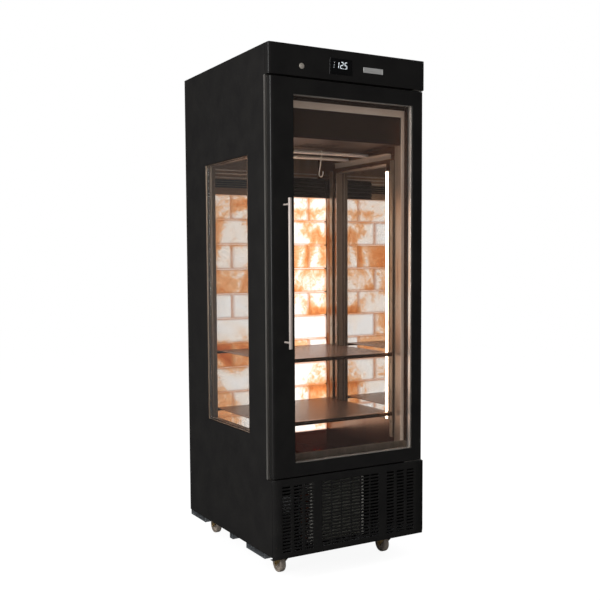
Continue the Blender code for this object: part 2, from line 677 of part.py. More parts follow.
def build_head():
    fascia = prism("head_fascia", rounded_front(X_LEFT, X_RIGHT, Y_EDGE - GAP), "Z", HEAD_BOTTOM, HEIGHT,
                   BLACK_PAINT, smooth=40.0)
    inside = CORNER_WIDTH + FASCIA_WALL
    hollow = block("head_hollow", (X_LEFT + inside, Y_FACE + FASCIA_WALL, HEAD_BOTTOM + FASCIA_WALL),
                   (X_RIGHT - inside, Y_EDGE + OVERRUN, HEIGHT - FASCIA_WALL), BLACK_PAINT)
    combine(fascia, hollow, "DIFFERENCE")
    left = X_LEFT + DISPLAY_LEFT
    window = block("display_window", (left, Y_FACE - OVERRUN, DISPLAY_LOW),
                   (left + DISPLAY_WIDTH, Y_FACE + FASCIA_WALL + OVERRUN, DISPLAY_LOW + DISPLAY_HEIGHT),
                   BLACK_PAINT)
    combine(fascia, window, "DIFFERENCE")
    lock_bore = rod("lock_bore", "Y", LOCK_RADIUS + GAP, -OVERRUN, FASCIA_WALL + OVERRUN, HINGE_STEPS,
                    BLACK_PAINT, (X_LOCK, Y_FACE, LOCK_HEIGHT))
    combine(fascia, lock_bore, "DIFFERENCE")
    cam_way = block("cam_way", (X_LOCK - STRIKE_SLOT_BEFORE, Y_CAM - CAM_CLEARANCE, HEAD_BOTTOM - OVERRUN),
                    (X_LOCK + STRIKE_SLOT_AFTER + CAM_LENGTH / 4, Y_CAM + CAM_THICKNESS + CAM_CLEARANCE,
                     HEAD_BOTTOM + FASCIA_WALL + OVERRUN), BLACK_PAINT)
    combine(fascia, cam_way, "DIFFERENCE")
    block("display_module", (left + GAP, Y_FACE - DISPLAY_PROUD, DISPLAY_LOW + GAP),
          (left + DISPLAY_WIDTH - GAP, Y_FACE - DISPLAY_PROUD + DISPLAY_DEPTH,
           DISPLAY_LOW + DISPLAY_HEIGHT - GAP), DARK_PLASTIC)


def build_lock():
    # barrel on its own axis, with the cam lying level to the right while unlocked
    barrel = turned("door_lock", [(0, -LOCK_BEZEL), (LOCK_BEZEL_RADIUS, -LOCK_BEZEL / 2),
                                  (LOCK_BEZEL_RADIUS, -GAP), (LOCK_RADIUS, -GAP),
                                  (LOCK_RADIUS, LOCK_LENGTH + CAM_THICKNESS), (0, LOCK_LENGTH + CAM_THICKNESS)],
                    "Y", HINGE_STEPS, CHROME, (X_LOCK, Y_FACE, LOCK_HEIGHT))
    cam = block("lock_cam", (0, LOCK_LENGTH, -CAM_HALF), (CAM_LENGTH, LOCK_LENGTH + CAM_THICKNESS, CAM_HALF),
                CHROME, (X_LOCK, Y_FACE, LOCK_HEIGHT))
    combine(barrel, cam, "UNION")
    keyway = block("lock_keyway", (-LOCK_KEYWAY / 2, -LOCK_BEZEL - OVERRUN, -LOCK_RADIUS / 2),
                   (LOCK_KEYWAY / 2, LOCK_LENGTH / 2, LOCK_RADIUS / 2), CHROME, (X_LOCK, Y_FACE, LOCK_HEIGHT))
    combine(barrel, keyway, "DIFFERENCE")
    return barrel


# Door

def build_door():
    left, right = X_LEFT + DOOR_INSET, X_RIGHT - DOOR_INSET
    window_x = (X_LEFT + DOOR_WINDOW_LEFT, X_RIGHT - DOOR_WINDOW_RIGHT)
    window_z = (DOOR_WINDOW_LOW, HEAD_BOTTOM - DOOR_WINDOW_HIGH)
    frame = prism("door_frame", rounded_front(left, right, Y_DOOR_BACK), "Z", DOOR_LOW, DOOR_HIGH,
                  BLACK_PAINT, smooth=40.0)
    opening = block("door_opening", (window_x[0], Y_FACE - OVERRUN, window_z[0]),
                    (window_x[1], Y_DOOR_BACK + OVERRUN, window_z[1]), BLACK_PAINT)
    rebate = block("door_rebate", (window_x[0] - REBATE, Y_FACE + DOOR_LIP, window_z[0] - REBATE),
                   (window_x[1] + REBATE, Y_DOOR_BACK + OVERRUN, window_z[1] + REBATE), BLACK_PAINT)
    combine(frame, opening, "DIFFERENCE")
    combine(frame, rebate, "DIFFERENCE")
    bore_radius = HINGE_PIN_RADIUS + HINGE_PIN_CLEARANCE
    bore_depth = HINGE_PIN_LENGTH + HINGE_PLATE
    for bore_name, end, way in (("upper_bore", DOOR_HIGH, -1), ("lower_bore", DOOR_LOW, 1)):
        bore = rod(bore_name, "Z", bore_radius, -way * OVERRUN, way * bore_depth, HINGE_STEPS, BLACK_PAINT,
                   (X_HINGE, Y_HINGE, end))
        combine(frame, bore, "DIFFERENCE")
    strike_y = (Y_CAM - STRIKE_DEPTH / 2, Y_CAM + STRIKE_DEPTH / 2)
    seat = block("strike_seat", (X_LOCK - STRIKE_BEFORE, strike_y[0], DOOR_HIGH - STRIKE_THICKNESS),
                 (X_LOCK + STRIKE_AFTER, strike_y[1], DOOR_HIGH + OVERRUN), BLACK_PAINT)
    slot_x = (X_LOCK - STRIKE_SLOT_BEFORE, X_LOCK + STRIKE_SLOT_AFTER)
    slot_y = (Y_CAM - CAM_CLEARANCE, Y_CAM + CAM_THICKNESS + CAM_CLEARANCE)
    slot = block("strike_slot", (slot_x[0], slot_y[0], DOOR_HIGH - STRIKE_SLOT_DEPTH),
                 (slot_x[1], slot_y[1], DOOR_HIGH + OVERRUN), BLACK_PAINT)
    combine(frame, seat, "DIFFERENCE")
    combine(frame, slot, "DIFFERENCE")
    plate = thick_plate("strike_plate", "Z", DOOR_HIGH - STRIKE_THICKNESS + GAP, DOOR_HIGH,
                        [X_LOCK - STRIKE_BEFORE + GAP, *slot_x, X_LOCK + STRIKE_AFTER - GAP],
                        [strike_y[0] + GAP, *slot_y, strike_y[1] - GAP], [(1, 1)], STAINLESS)

    edge = REBATE - GAP
    pane_x = (window_x[0] - edge, window_x[1] + edge)
    pane_z = (window_z[0] - edge, window_z[1] + edge)
    front = Y_FACE + DOOR_LIP + GAP
    middle = front + PANE + GAP
    rear = middle + SPACER_DEPTH + GAP
    front_pane = block("door_front_pane", (pane_x[0], front, pane_z[0]), (pane_x[1], front + PANE, pane_z[1]), GLASS)
    rear_pane = block("door_rear_pane", (pane_x[0], rear, pane_z[0]), (pane_x[1], rear + PANE, pane_z[1]), GLASS)
    spacer = thick_plate("door_glass_spacer", "Y", middle, middle + SPACER_DEPTH,
                         [pane_x[0], pane_x[0] + SPACER_WIDTH, pane_x[1] - SPACER_WIDTH, pane_x[1]],
                         [pane_z[0], pane_z[0] + SPACER_WIDTH, pane_z[1] - SPACER_WIDTH, pane_z[1]],
                         [(1, 1)], ALUMINIUM)
    gasket_x = (left + GASKET_INSET, right - GASKET_INSET)
    gasket_z = (DOOR_LOW + GASKET_INSET, DOOR_HIGH - GASKET_INSET)
    groove_bottom = Y_DOOR_BACK - GASKET_GROOVE
    gasket = thick_plate("door_gasket", "Y", groove_bottom + GAP, Y_EDGE - GAP,
                         [gasket_x[0], gasket_x[0] + GASKET_WIDTH, gasket_x[1] - GASKET_WIDTH, gasket_x[1]],
                         [gasket_z[0], gasket_z[0] + GASKET_WIDTH, gasket_z[1] - GASKET_WIDTH, gasket_z[1]],
                         [(1, 1)], RUBBER)
    groove_inner = GASKET_WIDTH + GAP
    groove = thick_plate("gasket_groove", "Y", groove_bottom, Y_DOOR_BACK + OVERRUN,
                         [gasket_x[0] - GAP, gasket_x[0] + groove_inner, gasket_x[1] - groove_inner, gasket_x[1] + GAP],
                         [gasket_z[0] - GAP, gasket_z[0] + groove_inner, gasket_z[1] - groove_inner, gasket_z[1] + GAP],
                         [(1, 1)], BLACK_PAINT)
    combine(frame, groove, "DIFFERENCE")
    hinge = pivot("door_hinge", (X_HINGE, Y_HINGE, DOOR_LOW))
    hang_on(hinge, frame, plate, front_pane, rear_pane, spacer, gasket, build_handle())


def build_handle():
    x = X_LEFT + HANDLE_FROM_LEFT
    y = Y_FACE - HANDLE_STANDOFF
    radius = HANDLE_DIAMETER / 2
    chamfer = radius / 4
    bar = turned("door_handle", [(0, HANDLE_LOW), (radius - chamfer, HANDLE_LOW), (radius, HANDLE_LOW + chamfer),
                                 (radius, HANDLE_HIGH - chamfer), (radius - chamfer, HANDLE_HIGH), (0, HANDLE_HIGH)],
                 "Z", BAR_STEPS, STAINLESS, (x, y, 0))
    for post_name, height in (("lower_post", HANDLE_LOW + HANDLE_POST_INSET),
                              ("upper_post", HANDLE_HIGH - HANDLE_POST_INSET)):
        post = rod(post_name, "Y", HANDLE_POST_DIAMETER / 2, 0, HANDLE_STANDOFF - GAP, BAR_STEPS, STAINLESS,
                   (x, y, height))
        combine(bar, post, "UNION")
    return bar


def build_hinge_plates():
    y = (Y_FACE + HINGE_EDGE, Y_EDGE - GAP)
    right = X_RIGHT - HINGE_EDGE
    top = HEAD_BOTTOM - GAP
    upper = block("upper_hinge_plate", (right - HINGE_UPPER_LENGTH, y[0], top - HINGE_PLATE), (right, y[1], top),
                  STAINLESS)
    upper_pin = rod("upper_pin", "Z", HINGE_PIN_RADIUS, top - HINGE_PLATE / 2, DOOR_HIGH - HINGE_PIN_LENGTH,
                    HINGE_STEPS, STAINLESS, (X_HINGE, Y_HINGE, 0))
    combine(upper, upper_pin, "UNION")
    low = BASE_TOP + GAP
    lower = block("lower_hinge_plate", (right - HINGE_LOWER_LENGTH, y[0], low), (right, y[1], low + HINGE_PLATE),
                  STAINLESS)
    lower_pin = rod("lower_pin", "Z", HINGE_PIN_RADIUS, low + HINGE_PLATE / 2, DOOR_LOW + HINGE_PIN_LENGTH,
                    HINGE_STEPS, STAINLESS, (X_HINGE, Y_HINGE, 0))
    combine(lower, lower_pin, "UNION")


# Machine compartment

def comb(name, left, right, root, backbone, tip, teeth, axis, low, high, material):
    # a row of fins on a backbone, drawn in plan and extruded; fins point from the root to the tip
    pitch = (right - left) / (teeth - 1 + FIN_SHARE)
    way = 1 if tip > root else -1
    spine = root + way * backbone
    outline = [(left, root)]
    for index in range(teeth):
        start = left + index * pitch
        end = start + pitch * FIN_SHARE
        outline += [(start, spine)] if index else []
        outline += [(start, tip), (end, tip)]
        outline += [(end, spine)] if index < teeth - 1 else []
    outline.append((right, root))
    return prism(name, outline, axis, low, high, material)


def build_fan(name, axis, radius, location):
    # hub with pitched blades that widen towards the tip
    half = FAN_DEPTH / 2
    hub = turned(name, [(0, -half), (FAN_HUB - half / 2, -half), (FAN_HUB, -half / 2), (FAN_HUB, half), (0, half)],
                 axis, COMPRESSOR_STEPS // 2, MACHINE_BLACK, location)
    bm = bmesh.new()
    spindle = place_on(axis, 1, 0, 0)
    root = FAN_HUB - BLADE_THICKNESS
    outline = [(root, -BLADE_ROOT), (radius, -BLADE_TIP), (radius, BLADE_TIP / 2), (root, BLADE_ROOT)]
    radial = place_on(axis, 0, 1, 0)
    for index in range(FAN_BLADES):
        face = bm.faces.new([bm.verts.new(place_on(axis, -BLADE_THICKNESS / 2, u, v)) for u, v in outline])
        made = bmesh.ops.extrude_face_region(bm, geom=[face])
        moved = [item for item in made["geom"] if isinstance(item, bmesh.types.BMVert)]
        bmesh.ops.translate(bm, verts=moved, vec=spindle * BLADE_THICKNESS)
        blade = list(face.verts) + moved
        bmesh.ops.rotate(bm, verts=blade, cent=(0, 0, 0),
                         matrix=Matrix.Rotation(math.radians(BLADE_PITCH), 3, radial))
        bmesh.ops.rotate(bm, verts=blade, cent=(0, 0, 0),
                         matrix=Matrix.Rotation(math.tau * index / FAN_BLADES, 3, spindle))
    blades = finish(name + "_blades", outward(bm), MACHINE_BLACK, location)
    combine(hub, blades, "UNION")
    return hub


def build_condenser():
    left, right = X_LEFT + CONDENSER_LEFT, X_LEFT + CONDENSER_RIGHT
    front = Y_EDGE + CONDENSER_FRONT
    back = front + CONDENSER_DEPTH
    comb("condenser_coil", left, right, back, CONDENSER_BACKBONE, front, CONDENSER_FINS, "Z",
         CONDENSER_LOW, CONDENSER_HIGH, ALUMINIUM)
    middle_x, middle_z = (left + right) / 2, (CONDENSER_LOW + CONDENSER_HIGH) / 2
    shroud_y = (back + GAP, back + GAP + SHROUD_DEPTH)
    low = CHASSIS_TOP + GAP
    shroud = block("condenser_shroud", (left, shroud_y[0], low), (right, shroud_y[1], CONDENSER_HIGH), GALVANISED)
    axis_at = (middle_x, 0, middle_z)
    ring = rod("shroud_ring", "Y", FAN_RADIUS + SHROUD_FAN_ROOM, shroud_y[0] - OVERRUN, shroud_y[1] + OVERRUN,
               COMPRESSOR_STEPS, GALVANISED, axis_at)
    combine(shroud, ring, "DIFFERENCE")
    reach = FAN_RADIUS + SHROUD_FAN_ROOM + OVERRUN
    spider_y = (shroud_y[1] - MOTOR_ARM, shroud_y[1])
    arm_level = block("motor_arm_level", (middle_x - reach, spider_y[0], middle_z - MOTOR_ARM),
                      (middle_x + reach, spider_y[1], middle_z + MOTOR_ARM), GALVANISED)
    arm_upright = block("motor_arm_upright", (middle_x - MOTOR_ARM, spider_y[0], middle_z - reach),
                        (middle_x + MOTOR_ARM, spider_y[1], middle_z + reach), GALVANISED)
    motor = rod("condenser_motor", "Y", MOTOR_RADIUS, spider_y[0], spider_y[0] + MOTOR_LENGTH, HINGE_STEPS,
                GALVANISED, axis_at)
    fan_y = spider_y[0] - GAP - FAN_HALF
    shaft = rod("condenser_shaft", "Y", SHAFT_RADIUS, fan_y + FAN_DEPTH / 2 + GAP, spider_y[1], HINGE_STEPS,
                GALVANISED, axis_at)
    for helper in (arm_level, arm_upright, motor, shaft):
        combine(shroud, helper, "UNION")
    build_fan("condenser_fan", "Y", FAN_RADIUS, (middle_x, fan_y, middle_z))


def build_compressor():
    x, y = X_RIGHT - COMPRESSOR_FROM_RIGHT, Y_EDGE + COMPRESSOR_FROM_FRONT
    radius, height = COMPRESSOR_RADIUS, COMPRESSOR_HEIGHT
    low = CHASSIS_TOP + GAP
    seam = height * 0.45
    profile = [(0, COMPRESSOR_FOOT / 2), (radius * 0.8, COMPRESSOR_FOOT / 2), (radius, height * 0.22), (radius, seam),
               (radius + COMPRESSOR_FOOT / 4, seam), (radius + COMPRESSOR_FOOT / 4, height * 0.5),
               (radius, height * 0.5), (radius, height * 0.74), (radius * 0.84, height * 0.9),
               (radius * 0.45, height * 0.985), (0, height)]
    shell = turned("compressor", profile, "Z", COMPRESSOR_STEPS, MACHINE_BLACK, (x, y, low))
    half = COMPRESSOR_FOOT_HALF
    foot = block("compressor_foot", (-half, -half * 0.6, 0), (half, half * 0.6, COMPRESSOR_FOOT), MACHINE_BLACK,
                 (x, y, low))
    box_half = TERMINAL_BOX / 2
    terminal = block("terminal_box", (-box_half, -radius - box_half, seam - box_half),
                     (box_half, -radius / 2, seam + box_half), MACHINE_BLACK, (x, y, low))
    combine(shell, foot, "UNION")
    combine(shell, terminal, "UNION")


# Evaporator under the ceiling

def build_evaporator():
    side = X_CHAMBER - EVAPORATOR_SIDE_GAP
    back = Y_CHAMBER_BACK - EVAPORATOR_BACK
    top = CHAMBER_CEILING - GAP
    slot_half = EVAPORATOR_SLOT_LENGTH / 2
    first = Y_EDGE + EVAPORATOR_FAN_FRONT - (EVAPORATOR_SLOTS - 1) * EVAPORATOR_SLOT_PITCH / 2 - EVAPORATOR_SLOT / 2
    y_slots = steps_between(first, EVAPORATOR_SLOT_PITCH, EVAPORATOR_SLOT, EVAPORATOR_SLOTS)
    bm = sheet_grid("Z", EVAPORATOR_LOW, [-side, -slot_half, slot_half, side],
                    [Y_EDGE + EVAPORATOR_FRONT, *y_slots, back],
                    [(1, 1 + 2 * row) for row in range(EVAPORATOR_SLOTS)])

    def on_outline(middle):
        across = abs(middle.x) > side - GAP
        along = middle.y < Y_EDGE + EVAPORATOR_FRONT + GAP or middle.y > back - GAP
        return across or along

    fold(bm, on_outline, (0, 0, top - EVAPORATOR_LOW))
    folded_sheet("evaporator_cover", bm, (0, 0, -1), SHEET, STAINLESS)

    half = side - EVAPORATOR_COIL_MARGIN[0]
    coil_front = Y_EDGE + EVAPORATOR_COIL_FRONT
    comb("evaporator_coil", -half, half, top, CONDENSER_BACKBONE, top - EVAPORATOR_COIL_DROP, EVAPORATOR_FINS,
         "Y", coil_front, back - EVAPORATOR_COIL_MARGIN[1], ALUMINIUM)
    fan_y = Y_EDGE + EVAPORATOR_FAN_FRONT
    motor_low = top - EVAPORATOR_MOTOR
    shaft_low = motor_low - FAN_HALF + FAN_DEPTH / 2
    turned("evaporator_motor", [(0, shaft_low), (SHAFT_RADIUS, shaft_low), (SHAFT_RADIUS, motor_low),
                                (MOTOR_RADIUS, motor_low), (MOTOR_RADIUS, top - MOTOR_ARM),
                                (EVAPORATOR_FLANGE, top - MOTOR_ARM), (EVAPORATOR_FLANGE, top), (0, top)],
           "Z", HINGE_STEPS, MACHINE_BLACK, (0, fan_y, 0))
    build_fan("evaporator_fan", "Z", EVAPORATOR_FAN_RADIUS, (0, fan_y, motor_low - GAP - FAN_HALF))


def build_air_outlet():
    # louvred front drawn as a saw-tooth profile
    front, back = Y_CHAMBER_BACK - OUTLET_DEPTH, Y_CHAMBER_BACK - GAP
    low, high = SALT_TOP + GAP, SALT_TOP + OUTLET_HEIGHT
    right = X_RIGHT - OUTLET_FROM_RIGHT
    pitch = (high - low) / OUTLET_LOUVRES
    outline = [(back, high), (back, low), (front, low)]
    for index in range(OUTLET_LOUVRES):
        start = low + index * pitch
        outline += [(front, start)] if index else []
        outline += [(front + OUTLET_LOUVRE_DEPTH, start + pitch * 0.75), (front, start + pitch * 0.9)]
    outline.append((front, high))
    return prism("air_outlet", outline, "X", right - OUTLET_WIDTH, right, DARK_PLASTIC)


# Salt wall

def build_salt_wall():
    side = X_CHAMBER - SALT_SIDE_GAP
    low = CHAMBER_FLOOR + GAP
    front = Y_CHAMBER_BACK - SALT_FRONT
    course = (SALT_TOP - low) / SALT_COURSES
    length = 2 * side / SALT_BRICKS
    wall = block("salt_wall", (-side, front + SALT_BRICK_DEPTH, low),
                 (side, front + SALT_BRICK_DEPTH + SALT_BACKING, SALT_TOP), SALT)
    bm = bmesh.new()
    for row in range(SALT_COURSES):
        shift = 0 if row % 2 == 0 else length / 2
        for index in range(SALT_BRICKS + row % 2):
            start = max(-side, -side - shift + index * length)
            end = min(side, -side - shift + (index + 1) * length)
            brick_low = Vector((start + SALT_JOINT / 2, front + SALT_EDGE, low + row * course + SALT_JOINT / 2))
            brick_high = Vector((end - SALT_JOINT / 2, front + SALT_BRICK_DEPTH + OVERRUN,
                                 low + (row + 1) * course - SALT_JOINT / 2))
            made = bmesh.ops.create_cube(bm, size=1)["verts"]
            bmesh.ops.scale(bm, verts=made, vec=brick_high - brick_low)
            bmesh.ops.translate(bm, verts=made, vec=(brick_low + brick_high) / 2)
            faces = {face for vert in made for face in vert.link_faces}
            face = min(faces, key=lambda item: item.calc_center_median().y)
            bmesh.ops.inset_region(bm, faces=[face], thickness=SALT_EDGE, depth=SALT_EDGE)
    bricks = finish("salt_bricks", bm, SALT)
    combine(wall, bricks, "UNION")


# Chamber fittings

def build_light_strip(name, side):
    y = Y_EDGE + LIGHT_FRONT
    wall = side * (X_CHAMBER - GAP)
    front = side * (X_CHAMBER - GAP - LIGHT_DEPTH)
    shoulder = side * (X_CHAMBER - GAP - LIGHT_DEPTH + LIGHT_ROUND)
    outline = [(wall, y), (shoulder, y), (front, y + LIGHT_ROUND), (front, y + LIGHT_WIDTH - LIGHT_ROUND),
               (shoulder, y + LIGHT_WIDTH), (wall, y + LIGHT_WIDTH)]
    return prism(name, outline, "Z", WINDOW_LOW, WINDOW_HIGH - LIGHT_UNDER_WINDOW, LIGHT)


def build_upright(name, side, start):
    # slotted channel on the wall, with a clip under each shelf
    y = (start, start + UPRIGHT_WIDTH)
    middle = (y[0] + y[1]) / 2
    face = side * (X_CHAMBER - GAP - UPRIGHT_DEPTH)
    count = int((UPRIGHT_HIGH - UPRIGHT_LOW) / UPRIGHT_PITCH)
    first = UPRIGHT_LOW + (UPRIGHT_PITCH - UPRIGHT_SLOT) / 2
    z_slots = steps_between(first, UPRIGHT_PITCH, UPRIGHT_SLOT, count)
    bm = sheet_grid("X", face, [y[0], middle - UPRIGHT_SLOT_WIDTH / 2, middle + UPRIGHT_SLOT_WIDTH / 2, y[1]],
                    [UPRIGHT_LOW, *z_slots, UPRIGHT_HIGH], [(1, 1 + 2 * row) for row in range(count)])
    fold(bm, lambda place: place.y < y[0] + GAP or place.y > y[1] - GAP, (side * UPRIGHT_DEPTH, 0, 0))
    upright = folded_sheet(name, bm, (-side, 0, 0), SHEET, STAINLESS)
    for level, height in SHELF_HEIGHTS.items():
        under = height - SHEET - GAP
        ends = sorted((face + side * SHEET / 2, face - side * CLIP_REACH))
        clip = block(f"{name}_clip_{level}", (ends[0], y[0] + SHEET, under - CLIP_THICKNESS),
                     (ends[1], y[1] - SHEET, under), STAINLESS)
        combine(upright, clip, "UNION")
    return upright


def build_shelf(name, height):
    # perforated sheet with its four edges folded down
    side = X_CHAMBER - GAP - max(UPRIGHT_DEPTH, LIGHT_DEPTH) - SHELF_SIDE_GAP
    y = (Y_EDGE + SHELF_FRONT, Y_CHAMBER_BACK - SHELF_BACK)
    x_pitch = (2 * side - 2 * SHELF_BORDER) / SHELF_COLUMNS
    y_pitch = (y[1] - y[0] - 2 * SHELF_BORDER) / SHELF_ROWS
    x_lines = [-side, *steps_between(-side + SHELF_BORDER + x_pitch * SHELF_BAR_SHARE / 2, x_pitch,
                                     x_pitch * (1 - SHELF_BAR_SHARE), SHELF_COLUMNS), side]
    y_lines = [y[0], *steps_between(y[0] + SHELF_BORDER + y_pitch * SHELF_BAR_SHARE / 2, y_pitch,
                                    y_pitch * (1 - SHELF_BAR_SHARE), SHELF_ROWS), y[1]]
    holes = [(1 + 2 * column, 1 + 2 * row) for column in range(SHELF_COLUMNS) for row in range(SHELF_ROWS)]
    bm = sheet_grid("Z", height, x_lines, y_lines, holes)

    def on_front_or_back(place):
        return place.y < y[0] + GAP or place.y > y[1] - GAP

    fold(bm, on_front_or_back, (0, 0, -SHELF_RIM))
    return folded_sheet(name, bm, (0, 0, 1), SHEET, STAINLESS)


def build_hanging_rail(name, side):
    wall = side * (X_CHAMBER - GAP)
    leg = side * (X_CHAMBER - GAP - RAIL_SHEET)
    toe = side * (X_CHAMBER - GAP - RAIL_WIDTH)
    low = RAIL_TOP - RAIL_HEIGHT
    outline = [(wall, low), (leg, low), (leg, RAIL_TOP - RAIL_SHEET), (toe, RAIL_TOP - RAIL_SHEET),
               (toe, RAIL_TOP), (wall, RAIL_TOP)]
    return prism(name, outline, "Y", Y_EDGE + RAIL_FRONT, Y_CHAMBER_BACK - RAIL_BACK, STAINLESS)


def build_hanging_bar(name, place):
    half = X_CHAMBER - BAR_END_GAP
    return rod(name, "X", BAR_RADIUS, -half, half, BAR_STEPS, CHROME,
               (0, place, RAIL_TOP + GAP + BAR_RADIUS))


def build_hook(name, across, place):
    # wire bent round the bar, down a slanting stem and back under into the lower hook
    upper = BAR_RADIUS + GAP + HOOK_WIRE
    lower = HOOK_LOWER_RADIUS
    points = []
    angle = HOOK_TIP_ANGLE
    while angle < 180 + HOOK_STEM_ANGLE:
        points.append((upper * math.cos(math.radians(angle)), upper * math.sin(math.radians(angle))))
        angle += HOOK_STEP_ANGLE
    points.append((-upper * math.cos(math.radians(HOOK_STEM_ANGLE)),
                   -upper * math.sin(math.radians(HOOK_STEM_ANGLE))))
    turned_by = 0
    while turned_by <= HOOK_LOWER_SWEEP:
        points.append((lower * math.cos(math.radians(-turned_by)) - HOOK_BALANCE,
                       -HOOK_STEM + lower * math.sin(math.radians(-turned_by))))
        turned_by += HOOK_STEP_ANGLE
    bent_wire(name, points, HOOK_WIRE, CHROME, (across, place, RAIL_TOP + GAP + BAR_RADIUS))


# Castors

def build_castor(name, x, start, braked):
    # built about the swivel axis at floor level, the wheel trailing to the back
    at = Vector((x, start, 0))
    top = BEAM_BOTTOM - GAP
    crown_top = top - RACEWAY_HEIGHT
    crown_low = crown_top - FORK_CROWN
    inner = CASTOR_WIDTH / 2 + FORK_SIDE_ROOM
    outer = inner + FORK_LEG
    foot = CASTOR_AXLE_HEIGHT
    arch = [(-outer, 0), (-inner, 0), (-inner, crown_low), (inner, crown_low), (inner, 0), (outer, 0),
            (outer, crown_top), (-outer, crown_top)]
    fork = prism(name + "_fork", arch, "Y", -FORK_FRONT - OVERRUN, FORK_REAR + CASTOR_TRAIL, ZINC_YELLOW, at)
    shoulder = crown_low - FORK_SHOULDER
    outline = [(-FORK_FRONT, crown_top + OVERRUN), (-FORK_FRONT, shoulder)]
    for step in range(7):
        angle = math.radians(200 + 140 * step / 6)
        outline.append((CASTOR_TRAIL + FORK_FOOT * math.cos(angle), foot + FORK_FOOT * math.sin(angle)))
    outline += [(FORK_REAR + FORK_FOOT / 2, shoulder), (FORK_REAR + FORK_FOOT / 2, crown_top + OVERRUN)]
    side_shape = prism(name + "_side_shape", outline, "X", -outer - OVERRUN, outer + OVERRUN, ZINC_YELLOW, at)
    combine(fork, side_shape, "INTERSECT")
    raceway = rod(name + "_raceway", "Z", RACEWAY_RADIUS, crown_top - FORK_CROWN / 2, top, HINGE_STEPS,
                  ZINC_YELLOW, at)
    axle_at = at + Vector((0, CASTOR_TRAIL, foot))
    axle = rod(name + "_axle", "X", AXLE_RADIUS, -outer - FORK_LEG, outer + FORK_LEG, HINGE_STEPS // 2,
               ZINC_YELLOW, axle_at)
    combine(fork, raceway, "UNION")
    combine(fork, axle, "UNION")

    half, tread = CASTOR_WIDTH / 2, CASTOR_RADIUS - CASTOR_TREAD
    bore = AXLE_RADIUS + GAP
    profile = [(bore, -half), (CASTOR_HUB, -half), (CASTOR_HUB + CASTOR_EDGE, -CASTOR_WEB), (tread, -CASTOR_WEB),
               (CASTOR_RADIUS - CASTOR_EDGE, -half), (CASTOR_RADIUS, -half + CASTOR_EDGE)]
    profile += [(radius, -along) for radius, along in reversed(profile)]
    wheel = turned(name + "_wheel", profile, "X", CASTOR_STEPS, WHEEL_GREY, axle_at,
                   turn=math.pi / CASTOR_STEPS, closed=True)
    swivel = pivot(name + "_swivel", at)
    hang_on(swivel, fork, wheel)
    if braked:
        half_lever = BRAKE_THICKNESS / 2
        end = BRAKE_FLAT + BRAKE_REACH
        pad = [(-BRAKE_BEFORE, -half_lever), (BRAKE_FLAT, -half_lever), (end, -half_lever - BRAKE_FALL),
               (end, half_lever + BRAKE_THICKNESS - BRAKE_FALL), (BRAKE_FLAT, half_lever), (-BRAKE_BEFORE, half_lever)]
        lever_at = at + Vector((0, BRAKE_PIVOT, crown_low - BRAKE_UNDER_CROWN - half_lever))
        lever = prism(name + "_brake", pad, "X", -inner + GAP, inner - GAP, BRAKE_RED, lever_at)
        hang_on(swivel, lever)


# The whole cabinet

for word, side in (("left", -1), ("right", 1)):
    build_side_skin(word + "_side_skin", side)
    build_wall(word + "_wall", side)
    build_window(word + "_window", side)
    build_light_strip("light_strip_" + word, side)
    build_hanging_rail("hanging_rail_" + word, side)
    build_upright("front_upright_" + word, side, Y_EDGE + UPRIGHT_FRONT)
    build_upright("rear_upright_" + word, side, Y_CHAMBER_BACK - UPRIGHT_REAR)
    castor_x = side * (X_RIGHT - CASTOR_FROM_SIDE)
    build_castor("castor_front_" + word, castor_x, Y_EDGE + CASTOR_FRONT, True)
    build_castor("castor_rear_" + word, castor_x, Y_BACK - CASTOR_REAR, False)

build_back_skin()
build_roof()
build_face_frame()
build_base_grille()
build_chassis()
build_chamber_shell()
build_head()
build_lock()
build_door()
build_hinge_plates()
build_condenser()
build_compressor()
build_evaporator()
build_air_outlet()
build_salt_wall()
for level, height in SHELF_HEIGHTS.items():
    build_shelf("shelf_" + level, height)
for word, place in (("front", Y_EDGE + BAR_FRONT), ("rear", Y_CHAMBER_BACK - BAR_REAR)):
    build_hanging_bar("hanging_bar_" + word, place)
    build_hook("hanging_hook_" + word, HOOK_PLACES[word], place)
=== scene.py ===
import json
import math
import random

import bmesh
import bpy
from mathutils import Matrix, Vector, noise

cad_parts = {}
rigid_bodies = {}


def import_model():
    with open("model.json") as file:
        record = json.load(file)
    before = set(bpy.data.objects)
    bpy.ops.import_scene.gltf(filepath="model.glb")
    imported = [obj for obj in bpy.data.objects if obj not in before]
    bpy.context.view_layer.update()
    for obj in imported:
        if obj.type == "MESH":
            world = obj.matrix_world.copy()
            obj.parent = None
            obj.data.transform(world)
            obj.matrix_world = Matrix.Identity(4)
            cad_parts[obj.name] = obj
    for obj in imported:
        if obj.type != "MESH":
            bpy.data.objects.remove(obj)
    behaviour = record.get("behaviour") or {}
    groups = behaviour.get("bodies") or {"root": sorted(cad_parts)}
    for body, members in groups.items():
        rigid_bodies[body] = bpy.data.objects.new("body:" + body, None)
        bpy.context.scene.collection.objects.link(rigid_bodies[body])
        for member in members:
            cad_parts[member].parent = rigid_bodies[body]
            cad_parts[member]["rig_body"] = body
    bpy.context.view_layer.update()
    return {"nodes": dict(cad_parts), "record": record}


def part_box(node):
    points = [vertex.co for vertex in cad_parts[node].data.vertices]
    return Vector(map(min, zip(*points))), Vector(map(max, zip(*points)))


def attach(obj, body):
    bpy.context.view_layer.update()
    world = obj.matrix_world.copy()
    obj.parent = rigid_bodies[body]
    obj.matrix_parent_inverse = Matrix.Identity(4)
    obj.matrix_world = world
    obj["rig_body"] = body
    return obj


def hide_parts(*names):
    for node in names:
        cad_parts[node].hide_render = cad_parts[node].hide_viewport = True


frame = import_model()
random.seed(11)
nodes = frame["nodes"]
print("frame loaded:", len(nodes), "nodes")


